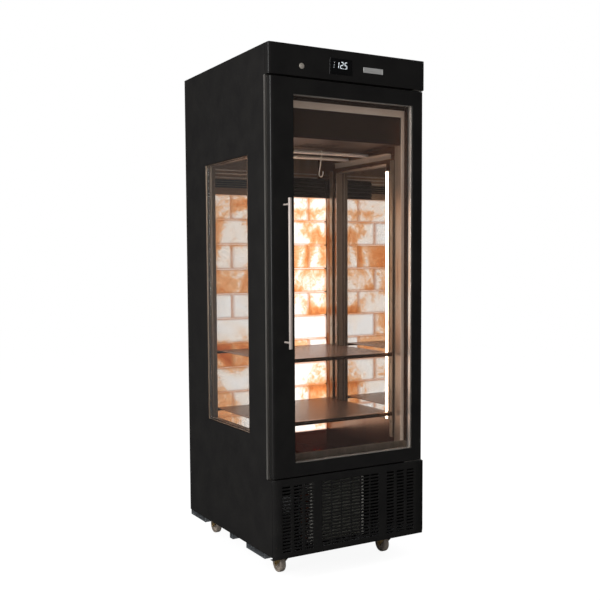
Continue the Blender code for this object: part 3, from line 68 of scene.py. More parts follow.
# Small tools

def hexColor(code, alpha=1.0):
    # sRGB hex to the linear colour that the shaders take
    values = []
    for start in (1, 3, 5):
        part = int(code[start:start + 2], 16) / 255
        values.append(part / 12.92 if part <= 0.04045 else ((part + 0.055) / 1.055) ** 2.4)
    return (*values, alpha)


def addNode(tree, kind, settings=None, links=None):
    node = tree.nodes.new("ShaderNode" + kind)
    for key, value in (settings or {}).items():
        if isinstance(key, int) or key in node.inputs.keys():
            node.inputs[key].default_value = value
        else:
            setattr(node, key, value)
    for key, socket in (links or {}).items():
        tree.links.new(socket, node.inputs[key])
    return node


def startMaterial(name, settings):
    # a Principled material whose plain numbers sit on the shader itself
    material = bpy.data.materials.new(name)
    material.use_nodes = True
    tree = material.node_tree
    shader = tree.nodes["Principled BSDF"]
    for key, value in settings.items():
        shader.inputs[key].default_value = value
    return material, tree, shader


def setRamp(ramp, stops):
    elements = ramp.color_ramp.elements
    while len(elements) < len(stops):
        elements.new(0.5)
    for element, (place, color) in zip(elements, stops):
        element.position = place
        element.color = hexColor(color)


def addObject(name, data):
    thing = bpy.data.objects.new(name, data)
    bpy.context.scene.collection.objects.link(thing)
    return thing


def meshOf(name, bm):
    mesh = bpy.data.meshes.new(name)
    bm.to_mesh(mesh)
    bm.free()
    return mesh


def slotOf(node):
    for part in frame["record"]["subparts"]:
        if part["node"] == node:
            return part["material_slot"]


def placePiece(name, bm, look, node, replaces=True, smooth=None, zones=()):
    # the finished mesh sits at the origin, with the body of its node, which it replaces or adds to; smooth
    # is the angle in degrees at which the shading breaks
    body, slot = nodes[node]["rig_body"], slotOf(node)
    replaced = [node] if replaces else []
    mesh = meshOf(name, bm)
    if smooth is not None:
        mesh.shade_smooth()
        mesh.set_sharp_from_angle(angle=math.radians(smooth))
    for each in (look, *zones):
        mesh.materials.append(finish[each])
    piece = addObject(name, mesh)
    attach(piece, body)
    if replaced:
        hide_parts(*replaced)
    return piece


def steadyNormals(piece):
    # large flat faces keep their own shading beside the narrow rounded edges
    weighted = piece.modifiers.new("FlatFaces", "WEIGHTED_NORMAL")
    weighted.keep_sharp = True
    weighted.weight = 100


# distances below which corners join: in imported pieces, in turned pieces and in holed sheets
weld = {"packed": 0.00002, "turned": 0.00001, "sheet": 0.00005}
soften = {"steps": 2, "above": math.radians(32), "flat": math.radians(1.0)}


def packedCopy(node):
    bm = bmesh.new()
    bm.from_mesh(nodes[node].data)
    bmesh.ops.remove_doubles(bm, verts=bm.verts[:], dist=weld["packed"])
    return bm


def cleanCopy(node):
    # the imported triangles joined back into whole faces
    bm = packedCopy(node)
    bmesh.ops.dissolve_limit(bm, angle_limit=soften["flat"], verts=bm.verts[:], edges=bm.edges[:])
    return bm


def roundEdges(bm, edges, width, steps):
    bmesh.ops.bevel(bm, geom=edges, offset=width, segments=steps, profile=0.5, affect="EDGES",
                    clamp_overlap=True, material=-1)


def softenEdges(bm, width):
    sharp = [edge for edge in bm.edges
             if len(edge.link_faces) == 2 and edge.calc_face_angle(0) > soften["above"]]
    roundEdges(bm, sharp, width, soften["steps"])


def edgesOf(verts):
    return list({edge for vert in verts for edge in vert.link_edges})


def addBlock(bm, low, high, edge=0.0, steps=2):
    # a block with softened edges, added to what is already in bm
    low, high = Vector(low), Vector(high)
    verts = bmesh.ops.create_cube(bm, size=1)["verts"]
    bmesh.ops.scale(bm, vec=high - low, verts=verts)
    bmesh.ops.translate(bm, vec=(low + high) / 2, verts=verts)
    if edge:
        roundEdges(bm, edgesOf(verts), edge, steps)
    return verts


def addTurned(bm, profile, axis, place, steps):
    # a profile of (radius, along) spun round an axis through place
    across = {"X": Vector((0, 1, 0)), "Y": Vector((1, 0, 0)), "Z": Vector((1, 0, 0))}[axis]
    along = {"X": Vector((1, 0, 0)), "Y": Vector((0, 1, 0)), "Z": Vector((0, 0, 1))}[axis]
    start = Vector(place)
    verts = [bm.verts.new(start + across * radius + along * way) for radius, way in profile]
    edges = [bm.edges.new(pair) for pair in zip(verts, verts[1:])]
    bmesh.ops.spin(bm, geom=verts + edges, cent=start, axis=along, angle=math.tau, steps=steps,
                   use_merge=True)


def closeUp(bm):
    # corners joined and every face turned outward
    bmesh.ops.remove_doubles(bm, verts=bm.verts[:], dist=weld["turned"])
    bmesh.ops.recalc_face_normals(bm, faces=bm.faces[:])
    return bm


# Finishes

surface = {"detail": 4.0, "grainDetail": 2.0, "tones": (0.3, 0.7), "reliefDepth": 0.0004}


def makeSurface(name, look):
    # mottled base colour, uneven roughness and a fine relief, all on object coordinates in real sizes
    material, tree, shader = startMaterial(name, look.get("shader", {}))
    place = addNode(tree, "TexCoord")
    spread = addNode(tree, "Mapping", {"Scale": look.get("stretch", (1, 1, 1))},
                     {"Vector": place.outputs["Object"]})
    mottle = addNode(tree, "TexNoise",
                     {"Scale": 1000 / look["mottleMm"], "Detail": surface["detail"]},
                     {"Vector": spread.outputs["Vector"]})
    tint = addNode(tree, "ValToRGB", {}, {"Fac": mottle.outputs["Fac"]})
    setRamp(tint, list(zip(surface["tones"], look["colors"])))
    tree.links.new(tint.outputs["Color"], shader.inputs["Base Color"])
    low, high = look["roughness"]
    rough = addNode(tree, "MapRange", {"To Min": low, "To Max": high},
                    {"Value": mottle.outputs["Fac"]})
    tree.links.new(rough.outputs["Result"], shader.inputs["Roughness"])
    if "relief" in look:
        grain = addNode(tree, "TexNoise",
                        {"Scale": 1000 / look["grainMm"], "Detail": surface["grainDetail"]},
                        {"Vector": spread.outputs["Vector"]})
        relief = addNode(tree, "Bump",
                         {"Strength": look["relief"], "Distance": surface["reliefDepth"]},
                         {"Height": grain.outputs["Fac"]})
        tree.links.new(relief.outputs["Normal"], shader.inputs["Normal"])
    return material


surfaceLooks = {
    # baked polyester powder on sheet steel: near black, slightly pebbled, with a dull sheen
    "powderCoat": {"shader": {"Specular IOR Level": 0.22}, "mottleMm": 90, "grainMm": 1.6, "relief": 0.10,
                   "colors": ("#161515", "#1b1a19"), "roughness": (0.36, 0.46)},
    # bright annealed AISI 304 liner: a soft mirror, brown from the salt's light, with upright rolling lines
    "brightLiner": {"shader": {"Metallic": 1.0}, "mottleMm": 30,
                    "stretch": (1, 1, 0.04), "colors": ("#806657", "#957a68"), "roughness": (0.14, 0.28)},
    # the same liner on the evaporator cover and in the jamb's shade, smooth and brown as oak
    "shadedLiner": {"shader": {"Metallic": 0.95}, "mottleMm": 60,
                    "stretch": (0.1, 1, 1), "colors": ("#4e3628", "#593d2d"), "roughness": (0.26, 0.32)},
    # the chamber's floor in its own shade, red brown and the darkest of the liner
    "floorLiner": {"shader": {"Metallic": 1.0, "Specular Tint": hexColor("#784228")},
                   "mottleMm": 60, "stretch": (1, 0.2, 1),
                   "colors": ("#4c2614", "#5c301b"), "roughness": (0.20, 0.28)},
    # the liner above the salt, in the window reveals and beside the door, warm from the light strips
    "warmSteel": {"shader": {"Metallic": 0.7}, "mottleMm": 30,
                  "stretch": (1, 1, 0.04), "colors": ("#a4907d", "#b6a391"), "roughness": (0.24, 0.34)},
    # duller strip steel of the slotted uprights and of the low lip, brown from the salt's light like the
    # liner behind them; on the low lip it is painted shade
    "uprightSteel": {"shader": {"Metallic": 0.85}, "mottleMm": 30,
                     "stretch": (1, 1, 0.04), "colors": ("#8f8070", "#a89886"), "roughness": (0.30, 0.40)},
    # satin jamb, which takes more of the light from the strips than it mirrors; its peach cream is painted
    # warm light
    "jambSteel": {"shader": {"Metallic": 0.3}, "mottleMm": 120,
                  "colors": ("#eccfb8", "#f3dac6"), "roughness": (0.24, 0.28)},
    # the same steel polished, on the rails and the spacer between the panes
    "polishedSteel": {"shader": {"Metallic": 0.72}, "mottleMm": 30,
                      "stretch": (1, 1, 0.04), "colors": ("#cdc5bd", "#e0d9d1"), "roughness": (0.18, 0.30)},
    # belt-brushed stainless sheet of hinge plates, strike plate and rim: pale, streaked along its length
    "brushedSteel": {"shader": {"Metallic": 0.9}, "mottleMm": 8, "grainMm": 0.9, "relief": 0.08,
                     "stretch": (1, 1, 0.03), "colors": ("#a39f99", "#bebab4"), "roughness": (0.24, 0.36)},
    # ground stainless bar of the handle: satin, even and slightly warm from end to end
    "satinBar": {"shader": {"Metallic": 0.25}, "mottleMm": 8, "grainMm": 0.9, "relief": 0.04,
                 "stretch": (1, 1, 0.03), "colors": ("#968b84", "#a59a93"), "roughness": (0.42, 0.52)},
    # bright chromium plate on round bar and wire
    "chromePlate": {"shader": {"Metallic": 0.2}, "mottleMm": 40,
                    "colors": ("#f4e9de", "#fdf4ea"), "roughness": (0.12, 0.18)},
    # satin nickel plate on the lock
    "nickelPlate": {"shader": {"Metallic": 0.75}, "mottleMm": 6,
                    "colors": ("#e0d6c8", "#efe6da"), "roughness": (0.28, 0.38)},
    # hot-dip galvanised sheet: blue-grey with a soft spangle
    "galvanisedSheet": {"shader": {"Metallic": 0.85}, "mottleMm": 14, "grainMm": 2.0, "relief": 0.08,
                        "colors": ("#8d9195", "#b3b7ba"), "roughness": (0.38, 0.55)},
    # yellow chromated zinc on pressed steel: brassy, drifting to olive
    "yellowZinc": {"shader": {"Metallic": 0.9}, "mottleMm": 12, "grainMm": 1.2, "relief": 0.06,
                   "colors": ("#a98a4c", "#cbb182"), "roughness": (0.30, 0.42)},
    # moulded polyamide wheel: grey brown, rubbed dull by the floor
    "wheelPolyamide": {"mottleMm": 18, "grainMm": 0.8, "relief": 0.15,
                       "colors": ("#7d7369", "#988d82"), "roughness": (0.45, 0.62)},
    # moulded ABS brake pedal, dark oxide red
    "pedalAbs": {"mottleMm": 10, "grainMm": 0.8, "relief": 0.1,
                 "colors": ("#3c1d16", "#4c271d"), "roughness": (0.40, 0.50)},
    # extruded PVC door seal, matt black
    "sealPvc": {"mottleMm": 20, "grainMm": 0.6, "relief": 0.12,
                "colors": ("#171615", "#201e1d"), "roughness": (0.60, 0.75)},
    # moulded black ABS of the air outlet; on the hidden back of the chassis plate the same black is painted
    # shade
    "outletAbsAndShade": {"mottleMm": 25, "grainMm": 0.7, "relief": 0.1,
                  "colors": ("#101011", "#171718"), "roughness": (0.34, 0.44)},
    # condenser fin stock, dulled by heat and dust
    "condenserFins": {"shader": {"Metallic": 0.2}, "mottleMm": 25, "grainMm": 1.5, "relief": 0.1,
                      "colors": ("#75756b", "#8d8c81"), "roughness": (0.45, 0.60)},
    # copper return bends beside the fins, gone brown
    "copperTube": {"shader": {"Metallic": 0.6}, "mottleMm": 10,
                   "colors": ("#7c4632", "#95573f"), "roughness": (0.35, 0.5)},
    # bare zinc-coated end plates of the condenser, bright beside the fins: painted paler than the
    # galvanised sheet, as highlights
    "endPlateZinc": {"shader": {"Metallic": 0.2}, "mottleMm": 12,
                     "colors": ("#d6d4cc", "#eceae2"), "roughness": (0.35, 0.5)},
    # rolled aluminium fin stock and spacer bar
    "finAluminium": {"shader": {"Metallic": 1.0}, "mottleMm": 9, "grainMm": 0.8, "relief": 0.08,
                     "colors": ("#a9adb1", "#c9cccf"), "roughness": (0.30, 0.45)},
    # black stoving enamel of compressor, motors and fans
    "stoveEnamel": {"mottleMm": 30, "grainMm": 1.5, "relief": 0.08,
                    "colors": ("#141414", "#1e1d1c"), "roughness": (0.35, 0.48)},
    # brushed anodised aluminium plate, left bare
    "plateAluminium": {"shader": {"Metallic": 0.6}, "mottleMm": 4, "grainMm": 0.7, "relief": 0.06,
                       "stretch": (0.05, 1, 1), "colors": ("#cfcecc", "#e2e1df"),
                       "roughness": (0.28, 0.40)},
}
finish = {name: makeSurface(name, look) for name, look in surfaceLooks.items()}

glassLooks = {
    # low-reflection float glass of the door: only a thin warm grey film shows
    "doorGlass": {"Base Color": hexColor("#6a605a"), "Roughness": 0.03, "Alpha": 0.05},
    # clear float glass of the side windows
    "sideGlass": {"Base Color": hexColor("#fbfbfa"), "Roughness": 0.02, "IOR": 1.5,
                  "Transmission Weight": 1.0},
    # its chamber side, with a thin silver coating against heat, so half a mirror
    "coatedGlass": {"Base Color": hexColor("#fbf9f6"), "Roughness": 0.02, "IOR": 1.5, "Metallic": 0.50,
                    "Transmission Weight": 1.0},
    # black glass over the display
    "displayGlass": {"Base Color": hexColor("#050506"), "Roughness": 0.08, "Coat Weight": 0.3},
}
glowLooks = {
    # opal polycarbonate cover of the light strips
    "lightCover": {"Base Color": hexColor("#f4efe6"), "Roughness": 0.4,
                   "Emission Color": hexColor("#ffdcbc"), "Emission Strength": 11.0},
    # white display segments
    "displaySegment": {"Base Color": hexColor("#e8eef2"), "Roughness": 0.4,
                       "Emission Color": hexColor("#e6f0f8"), "Emission Strength": 0.9},
}
for name, look in {**glassLooks, **glowLooks}.items():
    finish[name] = startMaterial(name, look)[0]


def makeSalt(look):
    # quarried rock salt lit from behind: cream where it is thin, orange in drifts and along the joints
    stone = {"Base Color": hexColor("#7a6250"), "Roughness": 0.5, "Emission Strength": look["glow"]}
    material, tree, shader = startMaterial("rockSalt", stone)
    place = addNode(tree, "TexCoord")
    edge = addNode(tree, "Attribute", {"attribute_name": "brickCore"})
    tone = addNode(tree, "Attribute", {"attribute_name": "brickTone"})
    drift, veins, pits = [addNode(tree, "TexNoise",
                                  {"Scale": 1000 / size, "Detail": detail, "Distortion": distortion},
                                  {"Vector": place.outputs["Object"]})
                          for size, detail, distortion in (look["driftMm"], look["veinMm"], look["pitMm"])]
    mixed = addNode(tree, "Math", {"operation": "MULTIPLY_ADD", 1: look["driftShare"]},
                    {0: drift.outputs["Fac"], 2: tone.outputs["Fac"]})
    total = addNode(tree, "Math", {"operation": "MULTIPLY_ADD", 1: look["veinShare"]},
                    {0: veins.outputs["Fac"], 2: mixed.outputs["Value"]})
    glow = addNode(tree, "ValToRGB", {}, {"Fac": total.outputs["Value"]})
    setRamp(glow, look["stops"])
    joint = addNode(tree, "Mix", {"data_type": "RGBA", 7: hexColor(look["jointColor"])},
                    {0: edge.outputs["Fac"], 6: glow.outputs["Color"]})
    tree.links.new(joint.outputs[2], shader.inputs["Emission Color"])
    relief = addNode(tree, "Bump", {"Strength": look["relief"], "Distance": look["reliefDepth"]},
                     {"Height": pits.outputs["Fac"]})
    tree.links.new(relief.outputs["Normal"], shader.inputs["Normal"])
    return material


# noises are (grain in mm, detail, distortion)
salt = {"courses": 10, "bricks": 3, "joint": 0.0012, "backing": 0.015, "rounding": 0.006,
            "wander": 0.0022, "front": 0.002, "seat": 0.0004, "cuts": 11, "tones": (-0.16, 0.20),
            "swellScale": 22, "coreShare": 0.75, "corePowers": (24, 16), "roundPowers": (10, 6),
            "jointPower": 12, "roundShare": 0.8, "roundLimit": 1.4, "boxEdge": 0.001,
            "glow": 1.6, "driftMm": (240, 5.0, 1.6), "veinMm": (45, 6.0, 2.5), "pitMm": (6, 4.0, 0.0),
            "driftShare": 1.15, "veinShare": 0.30, "relief": 0.35, "reliefDepth": 0.001,
            "jointColor": "#b5703c",
            "stops": [(0.42, "#b8561f"), (0.55, "#e08645"), (0.67, "#f2b684"), (0.77, "#fdf0e4"),
                      (1.0, "#fdfcfb")]}
finish["rockSalt"] = makeSalt(salt)
print("finishes ready:", len(finish))


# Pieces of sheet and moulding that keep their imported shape, with softened edges

# each node with the width of its softened edges
formedPieces = {
    "powderCoat": {"left_side_skin": 0.0004, "right_side_skin": 0.0004, "back_skin": 0.0003,
                   "roof_panel": 0.0005, "head_fascia": 0.0008, "door_frame": 0.0008},
    "brightLiner": {"left_wall": 0.001, "right_wall": 0.001},
    "floorLiner": {"chamber_shell": 0.002},
    "shadedLiner": {"evaporator_cover": 0.0004},
    "warmSteel": {"left_window_frame": 0.0008, "right_window_frame": 0.0008},
    "jambSteel": {"face_frame": 0.0004},
    "uprightSteel": {"front_upright_left": 0.0003, "rear_upright_left": 0.0003,
                     "front_upright_right": 0.0003, "rear_upright_right": 0.0003},
    "polishedSteel": {"hanging_rail_left": 0.0004, "hanging_rail_right": 0.0004,
                      "door_glass_spacer": 0.0006},
    "brushedSteel": {"upper_hinge_plate": 0.0005, "lower_hinge_plate": 0.0005, "strike_plate": 0.0003},
    "nickelPlate": {"door_lock": 0.0003},
    "galvanisedSheet": {"chassis": 0.0005, "condenser_shroud": 0.0006},
    "yellowZinc": {"castor_front_left_fork": 0.0004, "castor_front_right_fork": 0.0004,
                   "castor_rear_left_fork": 0.0004, "castor_rear_right_fork": 0.0004},
    "pedalAbs": {"castor_front_left_brake": 0.0005, "castor_front_right_brake": 0.0005},
    "sealPvc": {"door_gasket": 0.002},
    "outletAbsAndShade": {"air_outlet": 0.001},
    "finAluminium": {"evaporator_coil": 0.0004},
    "stoveEnamel": {"compressor": 0.0012, "condenser_fan": 0.0004, "evaporator_fan": 0.0004,
                    "evaporator_motor": 0.0008},
    "displayGlass": {"display_module": 0.0008},
    "doorGlass": {"door_front_pane": 0.0006, "door_rear_pane": 0.0006},
    "sideGlass": {"left_window_glass": 0.0006, "right_window_glass": 0.0006},
}
# on the face frame: the rim's sides and front, the top of its low part, and the shaded bands under its head
# and behind its front; then the walls beside the door, the outside of the window sleeves, the chamber side
# of the side glass, and the hidden back of the chassis plate. The low part, the bands and the outside of
# the sleeves are painted shade, the walls beside the door painted warm light, and the back of the plate is
# painted black as shade
border = {"open": 9, "rimSide": 0.3625, "rimFront": -0.3425, "lowTop": 0.5, "headHalf": 0.304,
          "headBand": (1.882, 1.91), "frontHalf": 0.31, "frontBand": (-0.3425, -0.3225),
          "wallFront": -0.252, "sleeve": 0.3648, "inside": 0.3362, "plateBack": 0.05, "plateTop": 0.1163,
          "headLow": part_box("head_fascia")[0].z, "saltTop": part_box("salt_wall")[1].z}


def above(word):
    return border[word], border["open"]


def below(word):
    return -border["open"], border[word]


def beyond(word):
    # further left than the border mirrored
    return -border["open"], -border[word]


def within(word):
    return -border[word], border[word]


# parts of a piece in another finish: the finish, its range along axes, and the axis to cut faces on, if any
finishZones = {
    "face_frame": [("powderCoat", {2: above("headLow")}, 2),
                   ("brushedSteel", {0: beyond("rimSide")}, None),
                   ("brushedSteel", {0: above("rimSide")}, None),
                   ("brushedSteel", {1: below("rimFront")}, None),
                   # the low part of the jamb in the darker upright steel: painted shade
                   ("uprightSteel", {1: above("rimFront"), 2: below("lowTop")}, 2),
                   ("shadedLiner", {0: within("headHalf"), 1: above("rimFront"), 2: border["headBand"]}, 2),
                   ("shadedLiner", {0: within("frontHalf"), 1: border["frontBand"]}, None)],
    "chamber_shell": [("warmSteel", {2: above("saltTop")}, 2)],
    "left_wall": [("warmSteel", {1: below("wallFront")}, 1)],
    "right_wall": [("warmSteel", {1: below("wallFront")}, 1)],
    "left_window_frame": [("shadedLiner", {0: beyond("sleeve")}, None)],
    "right_window_frame": [("shadedLiner", {0: above("sleeve")}, None)],
    "left_window_glass": [("coatedGlass", {0: (-border["inside"], border["open"])}, None)],
    "right_window_glass": [("coatedGlass", {0: below("inside")}, None)],
    # the back of the galvanised chassis plate in black: painted shade
    "chassis": [("outletAbsAndShade", {1: above("plateBack"), 2: above("plateTop")}, 1)],
}


def paintZones(bm, zones):
    # cut the faces at the borders and number their finish, the first zone that holds a face winning
    for _, ranges, cut in zones:
        for end in ranges[cut] if cut is not None else ():
            if abs(end) < border["open"]:
                plane = Vector((0, 0, 0))
                plane[cut] = 1
                bmesh.ops.bisect_plane(bm, geom=bm.verts[:] + bm.edges[:] + bm.faces[:],
                                       plane_co=plane * end, plane_no=plane)
    for face in bm.faces:
        middle = face.calc_center_median()
        for index, (_, ranges, _) in enumerate(zones):
            if all(start < middle[axis] < end for axis, (start, end) in ranges.items()):
                face.material_index = index + 1
                break


for look, group in formedPieces.items():
    for node, width in group.items():
        bm = cleanCopy(node)
        zones = finishZones.get(node, [])
        paintZones(bm, zones)
        softenEdges(bm, width)
        looks = [zone[0] for zone in zones]
        steadyNormals(placePiece(node + "_formed", bm, look, node, smooth=36, zones=looks))
print("formed pieces placed")


# Panels with rows of holes

def addRing(bm, corners, quarters):
    # the sheet between a rectangle and the hole in it, whose outline comes as four quarters
    outer = [bm.verts.new(point) for point in corners]
    inner = [[bm.verts.new(point) for point in quarter] for quarter in quarters]
    for index in range(4):
        quarter, after = inner[index], inner[(index + 1) % 4]
        for first, second in zip(quarter, quarter[1:]):
            bm.faces.new((outer[index], second, first))
        bm.faces.new((outer[index], outer[(index + 1) % 4], after[0], quarter[-1]))


def holeQuarters(low, high, radius, steps):
    # rounded rectangle in a plane, anticlockwise from its low corner
    centres = ((low[0] + radius, low[1] + radius), (high[0] - radius, low[1] + radius),
               (high[0] - radius, high[1] - radius), (low[0] + radius, high[1] - radius))
    quarters = []
    for index, (across, up) in enumerate(centres):
        start = math.pi + index * math.pi / 2
        angles = [start + math.pi / 2 * step / steps for step in range(steps + 1)]
        quarters.append([(across + radius * math.cos(angle), up + radius * math.sin(angle))
                         for angle in angles])
    return quarters


def addHoledSheet(bm, columns, rows, radius, steps, toSpace):
    # columns and rows are (cell start, hole start, hole end, cell end), with None in columns without holes
    for left, holeLeft, holeRight, right in columns:
        for bottom, holeLow, holeHigh, top in rows:
            corners = [toSpace(across, up) for across, up in ((left, bottom), (right, bottom),
                                                              (right, top), (left, top))]
            if holeLeft is None:
                bm.faces.new([bm.verts.new(point) for point in corners])
                continue
            quarters = holeQuarters((holeLeft, holeLow), (holeRight, holeHigh), radius, steps)
            addRing(bm, corners, [[toSpace(*point) for point in quarter] for quarter in quarters])


# how near an open edge lies to where its sheet folds, and the folds' least angle and their steps
fold = {"near": 0.0001, "above": 1.0, "steps": 3}


def foldEdges(bm, axis, place, offset):
    # a strip of sheet drawn out by offset from the open edges at one place along an axis
    edges = [edge for edge in bm.edges if edge.is_boundary
             and abs((edge.verts[0].co + edge.verts[1].co)[axis] / 2 - place) < fold["near"]]
    made = bmesh.ops.extrude_edge_only(bm, edges=edges)["geom"]
    verts = [item for item in made if isinstance(item, bmesh.types.BMVert)]
    bmesh.ops.translate(bm, vec=offset, verts=verts)


def roundFolds(bm, width, outward):
    # the folds rounded, and the sheet facing outward
    bends = [edge for edge in bm.edges if not edge.is_boundary and edge.calc_face_angle(0) > fold["above"]]
    bmesh.ops.bevel(bm, geom=bends, offset=width, segments=fold["steps"], profile=0.5, affect="EDGES",
                    material=-1)
    bm.normal_update()
    if sum(face.normal.dot(outward) for face in bm.faces) < 0:
        bmesh.ops.reverse_faces(bm, faces=bm.faces[:])


def addThickness(piece, thickness):
    wall = piece.modifiers.new("Sheet", "SOLIDIFY")
    wall.thickness = thickness
    wall.offset = -1
    wall.use_even_offset = True


# side groups as (margin, slot, gap, count) and the middle group as (gap, count, space beside it)
grille = {"side": (0.047, 0.037, 0.0145, 3), "middle": (0.005, 6, 0.041), "low": 0.1264, "pitch": 0.0134,
          "slot": 0.006, "rows": 20, "web": 0.0025, "radius": 0.0026, "roundSteps": 4, "sheet": 0.0015,
          "return": 0.020, "bend": 0.0012}


def buildGrille():
    low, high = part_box("base_grille")
    half = (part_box("left_side_skin")[0].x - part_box("right_side_skin")[1].x) / -2
    margin, slot, gap, count = grille["side"]
    side = [(-half + margin + index * (slot + gap), slot) for index in range(count)]
    midGap, midCount, groupGap = grille["middle"]
    start = side[-1][0] + slot + groupGap
    pitch = (midGap - 2 * start) / midCount
    slots = side + [(start + index * pitch, pitch - midGap) for index in range(midCount)]
    slots += [(-left - width, width) for left, width in reversed(side)]
    web = grille["web"]
    columns = []
    edge = low.x
    for left, width in slots:
        if left - web > edge + fold["near"]:
            columns.append((edge, None, None, left - web))
        columns.append((left - web, left, left + width, left + width + web))
        edge = left + width + web
    columns.append((edge, None, None, high.x))
    rest = (grille["pitch"] - grille["slot"]) / 2
    rows = []
    for index in range(grille["rows"]):
        bottom = grille["low"] + index * grille["pitch"]
        rows.append((bottom - rest, bottom, bottom + grille["slot"], bottom + grille["slot"] + rest))
    bm = bmesh.new()
    front = low.y

    def onFront(across, up):
        return Vector((across, front, up))

    addHoledSheet(bm, columns, rows, grille["radius"], grille["roundSteps"], onFront)
    plain = [(left, None, None, right) for left, *_, right in columns]
    addHoledSheet(bm, plain, [(low.z, 0, 0, rows[0][0]), (rows[-1][3], 0, 0, high.z)], 0, 1, onFront)
    bmesh.ops.remove_doubles(bm, verts=bm.verts[:], dist=weld["sheet"])
    foldEdges(bm, 2, high.z, (0, high.y - low.y, 0))
    foldEdges(bm, 2, low.z, (0, grille["return"], 0))
    roundFolds(bm, grille["bend"], Vector((0, -1, 0)))
    addThickness(placePiece("grille_panel", bm, "powderCoat", "base_grille", smooth=30), grille["sheet"])
    print("grille slots:", len(slots) * len(rows))


buildGrille()


# Salt wall: separate rough bricks in running bond on their light box

def shapeBrick(brick, tone, coreLayer, toneLayer, middle, half):
    # half also holds the depth from the wall's front to the light box
    corePowers, roundPowers, limit = salt["corePowers"], salt["roundPowers"], salt["roundLimit"]
    for vert in brick:
        across = abs(vert.co.x - middle.x) / half.x
        upward = abs(vert.co.z - middle.z) / half.z
        front = (middle.y + half.y - vert.co.y) / half.y
        vert[coreLayer] = salt["coreShare"] * max(across ** corePowers[0], upward ** corePowers[1])
        vert[toneLayer] = tone
        roundIn = salt["rounding"] * front * (across ** roundPowers[0] + upward ** roundPowers[1])
        swell = noise.noise(vert.co * salt["swellScale"]) * salt["wander"] * front
        vert.co.y += min(roundIn, salt["rounding"] * limit) * salt["roundShare"] + swell
        if front > 0.5:
            drawn = salt["joint"] * front
            vert.co.x -= math.copysign(drawn, vert.co.x - middle.x) * across ** salt["jointPower"]
            vert.co.z -= math.copysign(drawn, vert.co.z - middle.z) * upward ** salt["jointPower"]


def buildSaltWall():
    low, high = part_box("salt_wall")
    back = high.y - salt["backing"]
    course = (high.z - low.z) / salt["courses"]
    length = (high.x - low.x) / salt["bricks"]
    bm = bmesh.new()
    coreLayer = bm.verts.layers.float.new("brickCore")
    toneLayer = bm.verts.layers.float.new("brickTone")
    for row in range(salt["courses"]):
        shift = length / 2 * (row % 2)
        for index in range(salt["bricks"] + row % 2):
            left = max(low.x, low.x - shift + index * length) + salt["joint"]
            right = min(high.x, low.x - shift + (index + 1) * length) - salt["joint"]
            bottom = low.z + row * course + salt["joint"] * (row > 0)
            top = low.z + (row + 1) * course - salt["joint"] * (row < salt["courses"] - 1)
            verts = addBlock(bm, (left, low.y + salt["front"], bottom),
                             (right, back - salt["seat"], top))
            for vert in verts:
                vert[coreLayer] = -1
            bmesh.ops.subdivide_edges(bm, edges=edgesOf(verts), cuts=salt["cuts"], use_grid_fill=True)
            brick = [vert for vert in bm.verts if vert[coreLayer] < -0.5]
            shapeBrick(brick, random.uniform(*salt["tones"]), coreLayer, toneLayer,
                       Vector(((left + right) / 2, low.y, (bottom + top) / 2)),
                       Vector(((right - left) / 2, back - low.y, (top - bottom) / 2)))
    edge = salt["boxEdge"]
    addBlock(bm, (low.x + edge, back, low.z), (high.x - edge, high.y, high.z), edge, 1)
    placePiece("salt_bricks", bm, "rockSalt", "salt_wall", smooth=50)


buildSaltWall()
print("salt wall built")


# Shelves: perforated trays with their front and back edges turned down

shelf = {"holes": (50, 44), "share": 0.56, "border": 0.016, "rim": 0.016, "bend": 0.0025, "sheet": 0.0012,
         "flat": 0.0002, "roundSteps": 2}


def cellsAlong(low, high, count, border, share):
    pitch = (high - low - 2 * border) / count
    cells = [(low, None, None, low + border)]
    for index in range(count):
        start = low + border + index * pitch
        hole = (start + pitch * (1 - share) / 2, start + pitch * (1 + share) / 2)
        cells.append((start, *hole, start + pitch))
    cells.append((high - border, None, None, high))
    return cells


def buildShelf(node):
    low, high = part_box(node)
    bm = bmesh.new()
    columns = cellsAlong(low.x, high.x, shelf["holes"][0], shelf["border"], shelf["share"])
    rows = cellsAlong(low.y, high.y, shelf["holes"][1], shelf["border"], shelf["share"])
    radius = (rows[1][2] - rows[1][1]) / 2 - shelf["flat"]

    def onTop(across, along):
        return Vector((across, along, high.z))

    addHoledSheet(bm, columns, rows[1:-1], radius, shelf["roundSteps"], onTop)
    plain = [(left, None, None, right) for left, *_, right in columns]
    addHoledSheet(bm, plain, (rows[0], rows[-1]), 0, 1, onTop)
    bmesh.ops.remove_doubles(bm, verts=bm.verts[:], dist=weld["sheet"])
    for edge in (low.y, high.y):
        foldEdges(bm, 1, edge, (0, 0, -shelf["rim"]))
    roundFolds(bm, shelf["bend"], Vector((0, 0, 1)))
    addThickness(placePiece(node + "_tray", bm, "brightLiner", node, smooth=30), shelf["sheet"])
    print(node, "holes:", shelf["holes"][0] * shelf["holes"][1])


buildShelf("shelf_lower")
buildShelf("shelf_upper")


# Round pieces: handle, bars, wheels and hooks

handle = {"steps": 40, "endRound": 0.0015, "shoulder": 0.3, "post": 0.0038, "inset": 0.024}


def buildHandle():
    low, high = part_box("door_handle")
    radius = (high.x - low.x) / 2
    middle = Vector(((low.x + high.x) / 2, low.y + radius, 0))
    turn = handle["endRound"]
    shoulder = turn * handle["shoulder"]
    bm = bmesh.new()
    addTurned(bm, [(0, low.z), (radius - turn, low.z), (radius - shoulder, low.z + shoulder),
                   (radius, low.z + turn), (radius, high.z - turn), (radius - shoulder, high.z - shoulder),
                   (radius - turn, high.z), (0, high.z)], "Z", middle, handle["steps"])
    for height in (low.z + handle["inset"], high.z - handle["inset"]):
        reach = high.y - middle.y
        addTurned(bm, [(0, 0), (handle["post"], 0), (handle["post"], reach), (0, reach)], "Y",
                  (middle.x, middle.y, height), handle["steps"])
    placePiece("handle_bar", closeUp(bm), "satinBar", "door_handle", smooth=40)


bar = {"endRound": 0.001, "steps": 36}


